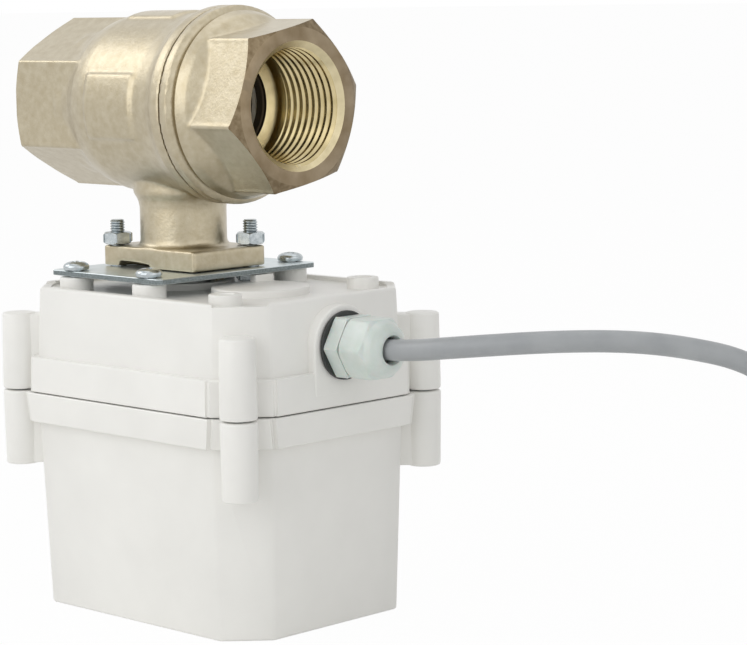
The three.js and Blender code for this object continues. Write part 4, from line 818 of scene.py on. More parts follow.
def turned_envelope(radius, length):
    """What the lathe leaves of a hexagonal end: its face and the corners turned off at 30 degrees."""
    outer = radius + 1.5
    corner = (outer - END_FACE_RADIUS) * math.tan(math.radians(30))
    return turned("envelope", [(0, 0), (END_FACE_RADIUS, 0), (outer, corner), (outer, length),
        (0, length)], 160)


def port_bore():
    """Plain bore of a port, from its face: mouth, tapping bore, relief, a small step and the way through."""
    thread_end = THREAD_LEAD_IN + THREAD_TURNS * THREAD_PITCH
    step = FACE_TO_AXIS - WATERWAY_START
    return turned("bore", [(0, -OVERRUN), (MOUTH_RADIUS, -OVERRUN), (MOUTH_RADIUS, 0),
        (THREAD_MINOR, THREAD_LEAD_IN), (THREAD_MINOR, thread_end), (RELIEF_RADIUS, thread_end + 0.5),
        (RELIEF_RADIUS, step - 1.2), (PORT_RADIUS + 0.4, step), (PORT_RADIUS + 0.4, step + 0.9),
        (PORT_RADIUS, step + 1.2), (PORT_RADIUS, FACE_TO_AXIS), (0, FACE_TO_AXIS)], 128)


def shape_rule(name, values):
    """A Geometry Nodes tree with a named input for each kind and value. Returns it and its inputs."""
    tree = bpy.data.node_groups.new(name, "GeometryNodeTree")
    tree.interface.new_socket("Geometry", in_out="OUTPUT", socket_type="NodeSocketGeometry")
    for label, (kind, value) in values.items():
        tree.interface.new_socket(label, in_out="INPUT", socket_type=f"NodeSocket{kind}")
    return tree, tree.nodes.new("NodeGroupInput").outputs


def made_by_rule(name, tree, last, values):
    """The plain mesh that a tree makes, up to its last node, with its inputs set by identifier."""
    output = tree.nodes.new("NodeGroupOutput")
    tree.links.new(last.outputs[0], output.inputs[0])
    made = new_piece(name, [], [])
    rule = made.modifiers.new("rule", "NODES")
    rule.node_group = tree
    for item in tree.interface.items_tree:
        if item.in_out == "INPUT":
            value = values[item.name][1]
            rule[item.identifier] = tuple(value) if isinstance(value, Vector) else value
    return settle(made)


def thread_groove(start_radius, end_radius, pitch, turns, depth, half_width):
    """Cutter for a thread: a V swept along a helix, made by Geometry Nodes. Sizes are in millimetres."""
    values = {"Start Radius": ("Float", start_radius * MM), "End Radius": ("Float", end_radius * MM),
        "Pitch": ("Float", pitch * MM), "Turns": ("Float", turns), "Depth": ("Float", depth * MM),
        "Half Width": ("Float", half_width * MM)}
    tree, inputs = shape_rule("thread", values)
    height = add_node(tree, "ShaderNodeMath", {0: inputs["Pitch"], 1: inputs["Turns"]}, operation="MULTIPLY")
    helix = add_node(tree, "GeometryNodeCurveSpiral", {"Resolution": 96, "Rotations": inputs["Turns"],
        "Start Radius": inputs["Start Radius"], "End Radius": inputs["End Radius"],
        "Height": height.outputs[0]})
    upright = add_node(tree, "GeometryNodeSetCurveNormal", {"Curve": helix.outputs[0]}, mode="Z_UP")
    diamond = add_node(tree, "GeometryNodeCurvePrimitiveCircle", {"Resolution": 4, "Radius": 1.0},
        mode="RADIUS")
    sides = add_node(tree, "ShaderNodeCombineXYZ",
        {"X": inputs["Depth"], "Y": inputs["Half Width"], "Z": 1.0})
    section = add_node(tree, "GeometryNodeTransform",
        {"Geometry": diamond.outputs[0], "Scale": sides.outputs[0]})
    swept = add_node(tree, "GeometryNodeCurveToMesh",
        {"Curve": upright.outputs[0], "Profile Curve": section.outputs[0], "Fill Caps": True})
    return made_by_rule("thread", tree, swept, values)


def threaded_bore():
    """A port's bore with its pipe thread, which gets a little shallower inwards."""
    groove = thread_groove(THREAD_MINOR - THREAD_START_INSET, THREAD_MINOR - THREAD_END_INSET, THREAD_PITCH,
        THREAD_TURNS + THREAD_RUN_OUT, THREAD_DEPTH, THREAD_HALF_WIDTH)
    return combine(port_bore(), [put(groove, 0, 0, THREAD_LEAD_IN - THREAD_RUN_OUT)], "UNION", "MANIFOLD")


def pipe_turned(name, profile, sides=96):
    return lay_along_x(turned(name, profile, sides), PIPE_HEIGHT)


def turning_marks(tree, shader, pitch, height):
    """Adds a bump of fine rings about the pipe's axis."""
    place = add_node(tree, "ShaderNodeTexCoord")
    centred = add_node(tree, "ShaderNodeVectorMath",
        {0: place.outputs["Object"], 1: (0, 0, -PIPE_HEIGHT * MM)}, operation="ADD")
    rings = add_node(tree, "ShaderNodeTexWave",
        {"Vector": centred.outputs[0], "Scale": math.pi / (10 * pitch * MM), "Distortion": 0.6,
        "Detail": 1.0, "Detail Scale": 0.3}, wave_type="RINGS", rings_direction="X")
    bump = add_node(tree, "ShaderNodeBump", {"Height": rings.outputs["Fac"], "Distance": height * MM,
        "Strength": 1.0})
    tree.links.new(bump.outputs["Normal"], shader.inputs["Normal"])


# Finishes of one brass: the blasted and plated forging under a thin haze, the turned end face and its
# rougher turned corners, both darkened as painted shade, the countersunk mouth, the bright thread and the
# waterway behind it, painted near black as painted shade
plated_brass, tree, shader = material("matt_nickel_plated_brass", "#b4aa90", 1.0, 0.4)
mottled(tree, shader, "#aea287", "#bcb29a", 2.2, 8.0)
grained(tree, shader, 0.75, 0.09, 4.0)
shader.inputs["Coat Weight"].default_value = 0.6
shader.inputs["Coat Roughness"].default_value = 0.35
# Painted shade: the turned end face is a darker copy of the cut brass, darker than the metal is
turned_face_brass_painted_shade, tree, shader = material("turned_brass_face_painted_shade", "#8b7b62", 1.0, 0.3)
mottled(tree, shader, "#7d6d55", "#968770", 6, 3.0)
turning_marks(tree, shader, 0.4, 0.012)
# Painted shade: the turned corners are a still darker copy of the cut brass, darker than the metal is
corner_brass_painted_shade = clouded("rough_turned_brass_corner_painted_shade", "#7a6b55", 1.0, 0.36, "#6b5c46", "#8b7c64", 1.5, 4.0,
    grain=(0.5, 0.05))
countersunk_brass, tree, shader = material("countersunk_brass_edge", "#d2c5a1", 1.0, 0.36)
mottled(tree, shader, "#cabd99", "#dacda9", 3, 4.0)
turning_marks(tree, shader, 0.4, 0.006)
bored_brass = clouded("tapped_brass_thread", "#cabb8f", 1.0, 0.2, "#c2b286", "#d2c298", 3, 4.0)
# Painted shade: the waterway behind the thread is a near-black copy of the brass, standing in for the shade
# in the bore
painted_shade_bore, tree, shader = material("brass_bore_painted_shade", "#352e24", 1.0, 0.4)
turning_marks(tree, shader, 0.5, 0.004)


FACE_SKIN = 0.05
CORNER_DEPTH = 2.1
CORNER_SLOPE = 0.3
COUNTERSINK_SHARE = 0.95
BRASS_FINISHES = (plated_brass, turned_face_brass_painted_shade, corner_brass_painted_shade, countersunk_brass, bored_brass, painted_shade_bore)
PLATED, TURNED_FACE_PAINTED_SHADE, CORNER_PAINTED_SHADE, COUNTERSUNK, TAPPED, BORE_PAINTED_SHADE = range(len(BRASS_FINISHES))


def machined(made):
    """Gives each face of a machined forging its finish by where it lies."""
    made.data.materials.clear()
    for finish in BRASS_FINISHES:
        made.data.materials.append(finish)
    for face in made.data.polygons:
        x, y, z = face.center / MM
        radius = math.hypot(y, z - PIPE_HEIGHT)
        depth = FACE_TO_AXIS - abs(x)
        place = PLATED
        # The turned end face, its corners and the waterway take the darker copies of the brass that paint
        # shade
        if depth < FACE_SKIN:
            place = TURNED_FACE_PAINTED_SHADE
        elif depth < CORNER_DEPTH and radius > END_FACE_RADIUS and abs(face.normal.x) > CORNER_SLOPE:
            place = CORNER_PAINTED_SHADE
        elif depth < COUNTERSINK_SHARE * THREAD_LEAD_IN and radius < MOUTH_RADIUS:
            place = COUNTERSUNK
        elif abs(x) > WATERWAY_START and radius < MOUTH_RADIUS:
            place = TAPPED
        # The waterway's faces get the near-black brass as painted shade
        elif radius < SPIGOT_RADIUS - 1 and abs(x) < WATERWAY_START + 0.1:
            place = BORE_PAINTED_SHADE
        face.material_index = place


neck_profile = [(0, BLOCK_BOTTOM + 1), (NECK_RADIUS + 1.2, BLOCK_BOTTOM + 1), (NECK_RADIUS + 1.2, BLOCK_TOP),
    (NECK_RADIUS + 0.35, BLOCK_TOP + 0.4), (NECK_RADIUS, BLOCK_TOP + 1.3), (NECK_RADIUS, 107.5),
    (NECK_RADIUS + 0.4, 109.5), (NECK_RADIUS + 1.6, 111.5), (NECK_RADIUS + 1.6, 118), (0, 118)]
barrel_profile = [(0, -28.8), (END_FACE_RADIUS, -28.8), (END_FACE_RADIUS, -25.8), (21.2, -22.4),
    (BODY_HEX_RADIUS, -18), (24.1, -14.6), (BARREL_RADIUS, -12.5), (BARREL_RADIUS, 9.4),
    (BARREL_RADIUS + 0.5, 13.75), (25.4, 15.6), (FLANGE_RADIUS, 17.5), (FLANGE_RADIUS, SEAM), (0, SEAM)]
body = lay_along_x(prism("valve_body_forging", regular(6, BODY_HEX_RADIUS, 0, HEX_EDGE), -OVERRUN,
    BODY_HEX_LENGTH), PIPE_HEIGHT, -FACE_TO_AXIS)
pads = []
for side in (-90, 90, 180):
    start, end = BARREL_PAD_SPAN
    radii = (BARREL_RADIUS - 1, BARREL_RADIUS + BARREL_PAD_RISE)
    ring = turned("ring", [(radii[0], start), (radii[1], start), (radii[1], end), (radii[0], end)], 128)
    outwards, along_barrel = BARREL_PAD_REACH
    blank = block("blank", (0, -BARREL_PAD_HALF_WIDTH, -along_barrel),
        (outwards, BARREL_PAD_HALF_WIDTH, along_barrel))
    put(blank, 0, 0, 0, math.radians(side))
    pads.append(lay_along_x(combine(ring, [blank], "INTERSECT"), PIPE_HEIGHT))
flange = prism("flange", [(p.x, p.y) for p in rounded_corners([(-BLOCK_X, -BLOCK_Y), (BLOCK_X, -BLOCK_Y),
    (BLOCK_X, BLOCK_Y), (-BLOCK_X, BLOCK_Y)], BLOCK_EDGE)], BLOCK_BOTTOM, BLOCK_TOP)
slot = block("slot", (FLANGE_SLOT_SPAN[0], -BLOCK_Y - OVERRUN, BLOCK_BOTTOM - OVERRUN),
    (FLANGE_SLOT_SPAN[1], -BLOCK_Y + FLANGE_SLOT_DEPTH, BLOCK_BOTTOM + FLANGE_SLOT_HEIGHT))
join(body, pipe_turned("barrel", barrel_profile, 128), *pads, turned("neck", neck_profile, 96),
    cut(flange, slot))
forged(body)
envelope = turned_envelope(BODY_HEX_RADIUS + ENVELOPE_MARGIN, ENVELOPE_LENGTH)
combine(body, [lay_along_x(envelope, PIPE_HEIGHT, -FACE_TO_AXIS)], "INTERSECT", "MANIFOLD")
cavity = [(0, -SEAT_POCKET_END), (SEAT_POCKET, -SEAT_POCKET_END), (SEAT_POCKET, -CAVITY_HALF),
    (CAVITY_RADIUS, -CAVITY_HALF), (CAVITY_RADIUS, CAVITY_HALF), (SPIGOT_RADIUS + GAP, CAVITY_HALF),
    (SPIGOT_RADIUS + GAP, SEAM), (50, SEAM), (50, SEAM + OVERRUN), (0, SEAM + OVERRUN)]
stem_bore = turned("bore", [(0, BLOCK_BOTTOM - OVERRUN), (STEM_RADIUS + GAP, BLOCK_BOTTOM - OVERRUN),
    (STEM_RADIUS + GAP, COLLAR_SEAT), (COLLAR_RADIUS + GAP, COLLAR_SEAT), (COLLAR_RADIUS + GAP, TANG_TOP),
    (0, TANG_TOP)], 48)
bolt_holes = [put(rod("hole", SHANK_RADIUS + 0.05, BLOCK_BOTTOM - OVERRUN, BLOCK_TOP + OVERRUN, 32),
    s * BOLT_X, s * BOLT_Y) for s in (-1, 1)]
combine(body, [lay_along_x(threaded_bore(), PIPE_HEIGHT, -FACE_TO_AXIS), pipe_turned("cavity", cavity),
    stem_bore, *bolt_holes], "DIFFERENCE", "MANIFOLD")
machined(body)
dress(body, None, "housing", "nickel_brass", "valve_body", angle=40)


# End cap
# Forged, plated and machined like the body. Its ring closes on the body with a fine dark seam, and a spigot
# inside carries the near seat. The hexagon ends in the turned face of the port.
CAP_HEX_RADIUS = (THREAD_MAJOR + 3.81) * HEX_SHARE
CAP_HEX_TURN = math.radians(78.5)
CAP_HEX_LENGTH = 19.8
SPIGOT_END = 13.1
cap_profile = [(0, SPIGOT_END), (SPIGOT_RADIUS, SPIGOT_END), (SPIGOT_RADIUS, SEAM + GAP),
    (FLANGE_RADIUS, SEAM + GAP), (FLANGE_RADIUS, 23.9), (25.1, 24.5), (25.0, 25.5), (23.9, 28.5),
    (END_FACE_RADIUS, 32.1), (0, 32.1)]
cap = lay_along_x(prism("end_cap_forging", regular(6, CAP_HEX_RADIUS, CAP_HEX_TURN, HEX_EDGE), -OVERRUN,
    CAP_HEX_LENGTH), PIPE_HEIGHT, FACE_TO_AXIS, -1)
join(cap, pipe_turned("ring", cap_profile, 128))
forged(cap)
envelope = turned_envelope(CAP_HEX_RADIUS + ENVELOPE_MARGIN, ENVELOPE_LENGTH)
combine(cap, [lay_along_x(envelope, PIPE_HEIGHT, FACE_TO_AXIS, -1)], "INTERSECT", "MANIFOLD")
inside = [(0, 0), (SEAT_POCKET, 0), (SEAT_POCKET, SEAT_BACK), (0, SEAT_BACK)]
shut_face = [(SPIGOT_RADIUS, 8), (40, 8), (40, SEAM + GAP), (SPIGOT_RADIUS, SEAM + GAP)]
ring_groove = [(27.5, 23.2), (26.35, 23.5), (25.2, 24.4), (24.1, 24.6), (24.1, 25.3), (25.0, 25.8),
    (27.5, 25.8)]
combine(cap, [lay_along_x(threaded_bore(), PIPE_HEIGHT, FACE_TO_AXIS, -1), pipe_turned("inside", inside),
    pipe_turned("facing", shut_face), pipe_turned("groove", ring_groove, 128)], "DIFFERENCE", "MANIFOLD")
machined(cap)
dress(cap, None, "housing", "nickel_brass", "end_cap", angle=40)


# Ball and seats
# A chromed brass ball, polished, with a slot for the stem's tang,
# between two white PTFE rings whose faces follow it.
chromed_ball = clouded("polished_chromed_brass", "#d4d7d9", 1.0, 0.09, "#d0d3d6", "#d8dbdc", 12)
white_ptfe = clouded("white_ptfe", "#eceae2", 0.0, 0.4, "#e8e6dd", "#f0eee8", 5)
BORE_EDGE = math.asin((PORT_RADIUS + 0.25) / BALL_RADIUS)
ball_arc = [BORE_EDGE + k * (math.pi - 2 * BORE_EDGE) / 40 for k in range(41)]
ball_face = [(BALL_RADIUS * math.sin(a), -BALL_RADIUS * math.cos(a)) for a in ball_arc]
ball_end = ball_face[-1][1] - 0.25
ball = pipe_turned("valve_ball", [(PORT_RADIUS, -ball_end), *ball_face, (PORT_RADIUS, ball_end)])
half_slot = 2.5 + GAP
cut(ball, block("slot", (-half_slot, -BALL_RADIUS, PIPE_HEIGHT - BALL_RADIUS - OVERRUN),
    (half_slot, BALL_RADIUS, TANG_TOP + GAP)))
dress(ball, chromed_ball, "valve_train", "bright_ball", "ball")
for side, name in ((1, "near"), (-1, "far")):
    shares = [k / 8 for k in range(9)]
    radii = [PORT_RADIUS + GAP + s * (SEAT_WIDTH - GAP) for s in shares]
    seat_face = [(r, math.sqrt((BALL_RADIUS + SEAT_CLEARANCE) ** 2 - r ** 2)) for r in radii]
    back = SEAT_BACK - GAP
    profile = [*seat_face, (radii[-1], back - 0.3), (radii[-1] - 0.3, back), (radii[0] + 0.3, back),
        (radii[0], back - 0.3)]
    seat = lay_along_x(turned(f"seat_{name}", profile, 96), PIPE_HEIGHT, 0, side)
    dress(seat, white_ptfe, "housing", "white_seal", f"seat_ring_{name}")


# Mounting plate
# A rectangle of 1.4 mm zinc-plated steel sheet with clipped corners, sheared to size and punched. It
# carries the valve on two bolts and is screwed down on the four bosses of the lid.
PLATE_TOP = 91.1
PLATE_X = 22.4
PLATE_Y = 28.6
PLATE_CORNER = 1.2
PLATE_EDGE = 0.14
STEM_HOLE_RADIUS = 9.5


def plate_ring(z, inset):
    x, y = PLATE_X - inset, PLATE_Y - inset
    leg = PLATE_CORNER - 0.6 * inset
    half = [(x - leg, -y), (x, -y + leg), (x, y - leg), (x - leg, y)]
    return [(px, py, z) for px, py in [*half, *[(-px, -py) for px, py in half]]]


def streaked(tree, shader, size, height, stretch):
    """Adds a bump of streaks that run along Z, as a shear leaves on the edge of a sheet."""
    place = add_node(tree, "ShaderNodeTexCoord")
    squeezed = add_node(tree, "ShaderNodeMapping", {"Vector": place.outputs["Object"],
        "Scale": (1, 1, 1 / stretch)})
    noise = add_node(tree, "ShaderNodeTexNoise", {"Vector": squeezed.outputs[0], "Scale": 1 / (size * MM),
        "Detail": 2.0})
    bump = add_node(tree, "ShaderNodeBump", {"Height": noise.outputs["Fac"], "Distance": height * MM,
        "Strength": 1.0})
    tree.links.new(bump.outputs["Normal"], shader.inputs["Normal"])


plate = lofted("adapter_plate_steel", [plate_ring(z, inset) for z, inset in [(PLATE_BOTTOM, PLATE_EDGE),
    (PLATE_BOTTOM + PLATE_EDGE, 0), (PLATE_TOP - PLATE_EDGE, 0), (PLATE_TOP, PLATE_EDGE)]])
punched = [put(rod("hole", SCREW_HOLE_RADIUS, PLATE_BOTTOM - 1, PLATE_TOP + 1, 32), x, y)
    for x, y in [*[(sx * PLATE_SCREW_X, sy * PLATE_SCREW_Y) for sx, sy in CORNERS], (-BOLT_X, -BOLT_Y),
    (BOLT_X, BOLT_Y)]]
cut(plate, *punched, rod("hole", STEM_HOLE_RADIUS, PLATE_BOTTOM - 1, PLATE_TOP + 1, 64))

# Zinc on rolled sheet: a cool satin grey, faintly clouded. Its
# sheared edges are darker, with fine upright streaks.
zinc_sheet = clouded("zinc_plated_steel_sheet", "#cdd6d7", 1.0, 0.36, "#c6cfd1", "#d5dcdd", 4, 4.0,
    grain=(0.8, 0.012))
sheared_zinc, tree, shader = material("sheared_zinc_plated_edge", "#7c8486", 1.0, 0.42)
mottled(tree, shader, "#697172", "#8c9495", 0.5)
streaked(tree, shader, 0.3, 0.05, 5)
plate.data.materials.append(zinc_sheet)
plate.data.materials.append(sheared_zinc)
for face in plate.data.polygons:
    face.material_index = int(abs(face.normal.z) < 0.5)
dress(plate, None, "housing", "zinc_steel", "adapter_plate", angle=30)


# Screws, bolts and nuts
# Cold-headed steel, bright zinc plated: cross-recessed pan heads hold the plate,
# two M4 hexagon bolts come up through it and the brass flange to their nuts, and
# four long screws pull the two shells together from below.
HEX_ACROSS = 7.0
HEAD_BOTTOM = 87.2
HEAD_TOP = 89.4
NUT_BOTTOM = 97.2
NUT_TOP = 100.4
BOLT_END = 103.8
BOLT_THREAD_START = 95.0
BOLT_PITCH = 0.7
NUT_TURN = math.radians(15)
PLATE_SCREW = (PLATE_TOP + GAP, 3.55, 2.2, SHANK_RADIUS, PLATE_HOLE_BOTTOM)
CASE_SCREW = (-42.7, 3.4, 2.4, SHANK_RADIUS, -70.0)
GEAR_SCREW = (-55.9, 2.7, 2.0, 1.5, -65.8)
BOLT_THREAD_DEPTH = 0.4
BOLT_THREAD_HALF_WIDTH = 0.27
BOLT_THREAD_RADIUS = 2.02


def fastener_rows(name, part, start, step, count, other_step, other_count, finish, turn, seed):
    """Like fasteners in rows, one mesh made by Geometry Nodes, each turned by chance up to an angle."""
    values = {"Part": ("Object", part), "Start": ("Vector", Vector(start) * MM),
        "Step": ("Vector", Vector(step) * MM), "Count": ("Int", count),
        "Other Step": ("Vector", Vector(other_step) * MM), "Other Count": ("Int", other_count),
        "Turn": ("Float", turn), "Seed": ("Int", seed), "Finish": ("Material", finish)}
    tree, inputs = shape_rule("fastener_rows", values)
    row = add_node(tree, "GeometryNodeMeshLine",
        {"Count": inputs["Count"], "Start Location": inputs["Start"], "Offset": inputs["Step"]})
    rows = add_node(tree, "GeometryNodeMeshLine",
        {"Count": inputs["Other Count"], "Offset": inputs["Other Step"]})
    places = add_node(tree, "GeometryNodeInstanceOnPoints",
        {"Points": rows.outputs[0], "Instance": row.outputs[0]})
    places = add_node(tree, "GeometryNodeRealizeInstances", {"Geometry": places.outputs[0]})
    most = add_node(tree, "ShaderNodeCombineXYZ", {"Z": inputs["Turn"]})
    turned_by = add_node(tree, "FunctionNodeRandomValue", {"Max": most.outputs[0], "Seed": inputs["Seed"]},
        data_type="FLOAT_VECTOR")
    turned_by.inputs["Min"].default_value = (0, 0, 0)
    shape = add_node(tree, "GeometryNodeObjectInfo", {"Object": inputs["Part"]})
    placed = add_node(tree, "GeometryNodeInstanceOnPoints", {"Points": places.outputs[0],
        "Instance": shape.outputs["Geometry"], "Rotation": turned_by.outputs["Value"]})
    solid = add_node(tree, "GeometryNodeRealizeInstances", {"Geometry": placed.outputs[0]})
    coated = add_node(tree, "GeometryNodeSetMaterial",
        {"Geometry": solid.outputs[0], "Material": inputs["Finish"]})
    made = made_by_rule(name, tree, coated, values)
    bpy.data.objects.remove(part)
    return made


def pan_head_screw(seat, head_radius, head_height, shank_radius, tip):
    """A screw with a domed pan head above its seat and a cross recess, driven downwards."""
    dome = [(head_radius * math.sin(a) ** 0.75, seat + head_height * (0.3 + 0.7 * math.cos(a)))
        for a in [k * QUARTER / 8 for k in range(1, 9)]]
    made = turned("screw", [(0, tip), (shank_radius * 0.5, tip), (shank_radius, tip + 1.4),
        (shank_radius, seat), (head_radius - 0.15, seat), *reversed(dome), (0, seat + head_height)], 40)
    arms = []
    for turn in (0, QUARTER):
        rings = [(seat + head_height - 1.5, 0.8, 0.3), (seat + head_height + 0.2, 0.6 * head_radius, 0.55)]
        arm = lofted("arm", [[(-x, -y, z), (x, -y, z), (x, y, z), (-x, y, z)] for z, x, y in rings])
        arms.append(put(arm, 0, 0, 0, turn))
    return cut(made, join(*arms))


def hexagon(name, z0, z1, turn):
    """A hexagon whose corners are turned off at 30 degrees at both ends."""
    outer = HEX_ACROSS / 2 * HEX_SHARE + 0.3
    flat = HEX_ACROSS / 2 - 0.1
    corner = (outer - flat) * math.tan(math.radians(30))
    shape = turned("shape", [(0, z0), (flat, z0), (outer, z0 + corner), (outer, z1 - corner), (flat, z1),
        (0, z1)], 96)
    return combine(prism(name, regular(6, HEX_ACROSS / 2 * HEX_SHARE, turn, 0.15), z0 - 1, z1 + 1), [shape],
        "INTERSECT")


# Bright zinc: cool, fairly sharp reflections, a little clouded from the barrel it was plated in
bright_zinc = clouded("bright_zinc_plated_steel", "#b0b7ba", 1.0, 0.25, "#a3aaad", "#bdc3c5", 1.2, 4.0,
    grain=(0.5, 0.015))
plate_screw = pan_head_screw(*PLATE_SCREW)
plate_screws = fastener_rows("plate_screws", plate_screw, (-PLATE_SCREW_X, -PLATE_SCREW_Y, 0),
    (2 * PLATE_SCREW_X, 0, 0), 2, (0, 2 * PLATE_SCREW_Y, 0), 2, bright_zinc, QUARTER, 3)
dress(plate_screws, None, "housing", "zinc_steel", *[f"plate_screw_{i}" for i in (1, 2, 3, 4)])
bolt = hexagon("bolt", HEAD_BOTTOM, HEAD_TOP, 0)
shank = turned("shank", [(0, HEAD_TOP - 0.5), (SHANK_RADIUS, HEAD_TOP - 0.5), (SHANK_RADIUS, BOLT_END - 0.4),
    (SHANK_RADIUS - 0.4, BOLT_END), (0, BOLT_END)], 48)
thread_turns = (BOLT_END - BOLT_THREAD_START) / BOLT_PITCH + 1
groove = put(thread_groove(BOLT_THREAD_RADIUS, BOLT_THREAD_RADIUS, BOLT_PITCH, thread_turns,
    BOLT_THREAD_DEPTH, BOLT_THREAD_HALF_WIDTH), 0, 0, BOLT_THREAD_START)
join(bolt, cut(shank, groove))
flange_bolts = fastener_rows("flange_bolts", bolt, (-BOLT_X, -BOLT_Y, 0), (2 * BOLT_X, 2 * BOLT_Y, 0), 2,
    (0, 0, 0), 1, bright_zinc, 0.5, 1)
dress(flange_bolts, None, "housing", "zinc_steel", "flange_bolt_left", "flange_bolt_right")
nut = cut(hexagon("nut", NUT_BOTTOM, NUT_TOP, NUT_TURN), rod("hole", SHANK_RADIUS + 0.04, NUT_BOTTOM - 1,
    NUT_TOP + 1, 48))
flange_nuts = fastener_rows("flange_nuts", nut, (-BOLT_X, -BOLT_Y, 0), (2 * BOLT_X, 2 * BOLT_Y, 0), 2,
    (0, 0, 0), 1, bright_zinc, 0.0, 0)
dress(flange_nuts, None, "housing", "zinc_steel", "flange_nut_left", "flange_nut_right")
case_screw = pan_head_screw(*CASE_SCREW)
case_screw.data.transform(Matrix.Rotation(math.pi, 4, "X"))
left_x, low_y = POST_PLACES[0]
case_screws = fastener_rows("case_screws", case_screw, (left_x, low_y, 0),
    (POST_PLACES[1][0] - left_x, 0, 0), 2, (0, -2 * low_y, 0), 2, bright_zinc, QUARTER, 5)
dress(case_screws, None, "housing", "zinc_steel", *[f"case_screw_{i}" for i in (1, 2, 3, 4)])


# Cable gland
# Moulded polyamide, pale grey: a hexagon on a threaded body, a hexagonal dome nut with soft edges that
# squeezes a rubber seal on the cable, a lock nut inside the case and a black rubber washer against its pad.
GLAND_ACROSS = 15.2
WASHER_BACK = 61.2
WASHER_FRONT = 62.1
WASHER_RADIUS = 8.95
GLAND_THREAD_RADIUS = 6.2
GLAND_THREAD_PITCH = 1.5
GLAND_THREAD_TURNS = 7.4
GLAND_THREAD_DEPTH = 0.85
GLAND_THREAD_HALF_WIDTH = 0.6
GLAND_INNER = 50.6
GLAND_NOSE = 73.1
GLAND_BORE = 4.75
WASHER_BORE = 6.6
STUD_END_RADIUS = 5.6
SEAL_BACK = 62.7
SEAL_BORE = 3.05
FLANGE_FRONT = 66.7
LOCK_NUT_FRONT = 54.9
DOME_NUT_BACK = 66.85
DOME_HEX_FRONT = 74.9
DOME_HOLE = 3.42


def gland_hexagon(name, x0, x1, fillet, corner):
    """A hexagon along X with rounded edges, its corners turned off at both ends."""
    radius = GLAND_ACROSS / math.sqrt(3)
    flat = radius - corner
    shape = turned("shape", [(0, x0), (flat, x0), (radius + 0.1, x0 + corner), (radius + 0.1, x1 - corner),
        (flat, x1), (0, x1)], 96)
    return combine(prism(name, regular(6, radius, QUARTER, fillet), x0 - 1, x1 + 1), [shape], "INTERSECT")


# Polyamide: pale grey with a breath of green, satin, a little translucent. EPDM rubber: black and matt.
pale_polyamide, tree, shader = material("pale_moulded_polyamide", "#d2dad5", 0.0, 0.33)
mottled(tree, shader, "#ccd6d0", "#d8dfdb", 4)
grained(tree, shader, 0.6, 0.015)
shader.inputs["Subsurface Weight"].default_value = 0.15
shader.inputs["Subsurface Scale"].default_value = 0.8 * MM
black_rubber = clouded("black_epdm_rubber", "#2a2c2b", 0.0, 0.5, "#242625", "#343635", 1.5,
    grain=(0.3, 0.02))

washer = turned("gland_washer_rubber", [(WASHER_BORE, WASHER_BACK), (WASHER_RADIUS - 0.15, WASHER_BACK),
    (WASHER_RADIUS, WASHER_BACK + 0.15), (WASHER_RADIUS, WASHER_FRONT - 0.15),
    (WASHER_RADIUS - 0.15, WASHER_FRONT), (WASHER_BORE, WASHER_FRONT)], 96)
dress(lay_along_x(washer, GLAND_HEIGHT), black_rubber, "housing", "black_rubber", "gland_washer")
gland_body = gland_hexagon("gland_body_polyamide", WASHER_FRONT + 0.1, FLANGE_FRONT, 0.4, 0.3)
stud = turned("stud", [(0, GLAND_INNER), (STUD_END_RADIUS, GLAND_INNER),
    (GLAND_THREAD_RADIUS, GLAND_INNER + 0.6), (GLAND_THREAD_RADIUS, GLAND_NOSE - 0.6),
    (STUD_END_RADIUS, GLAND_NOSE), (0, GLAND_NOSE)], 96)
groove = put(thread_groove(GLAND_THREAD_RADIUS, GLAND_THREAD_RADIUS, GLAND_THREAD_PITCH,
    GLAND_THREAD_TURNS, GLAND_THREAD_DEPTH, GLAND_THREAD_HALF_WIDTH), 0, 0,
    GLAND_INNER - 0.5)
join(gland_body, cut(stud, groove))
cut(gland_body, rod("bore", GLAND_BORE, GLAND_INNER - 1, GLAND_NOSE + 1, 64))
dress(lay_along_x(gland_body, GLAND_HEIGHT), pale_polyamide, "housing", "gland_nylon", "gland_body")
lock_nut = gland_hexagon("gland_lock_nut_polyamide", GLAND_INNER, LOCK_NUT_FRONT, 0.6, 0.8)
cut(lock_nut, rod("hole", GLAND_THREAD_RADIUS + 0.05, GLAND_INNER - 1, LOCK_NUT_FRONT + 1, 64))
dress(lay_along_x(lock_nut, GLAND_HEIGHT), pale_polyamide, "housing", "gland_nylon", "gland_lock_nut")
seal = turned("gland_seal_rubber", [(SEAL_BORE, SEAL_BACK), (GLAND_BORE - GAP, SEAL_BACK),
    (GLAND_BORE - GAP, GLAND_NOSE - 0.4), (GLAND_BORE - GAP - 0.4, GLAND_NOSE), (3.25, GLAND_NOSE),
    (SEAL_BORE, GLAND_NOSE - 0.3)], 64)
dress(lay_along_x(seal, GLAND_HEIGHT), black_rubber, "housing", "black_rubber", "gland_seal")

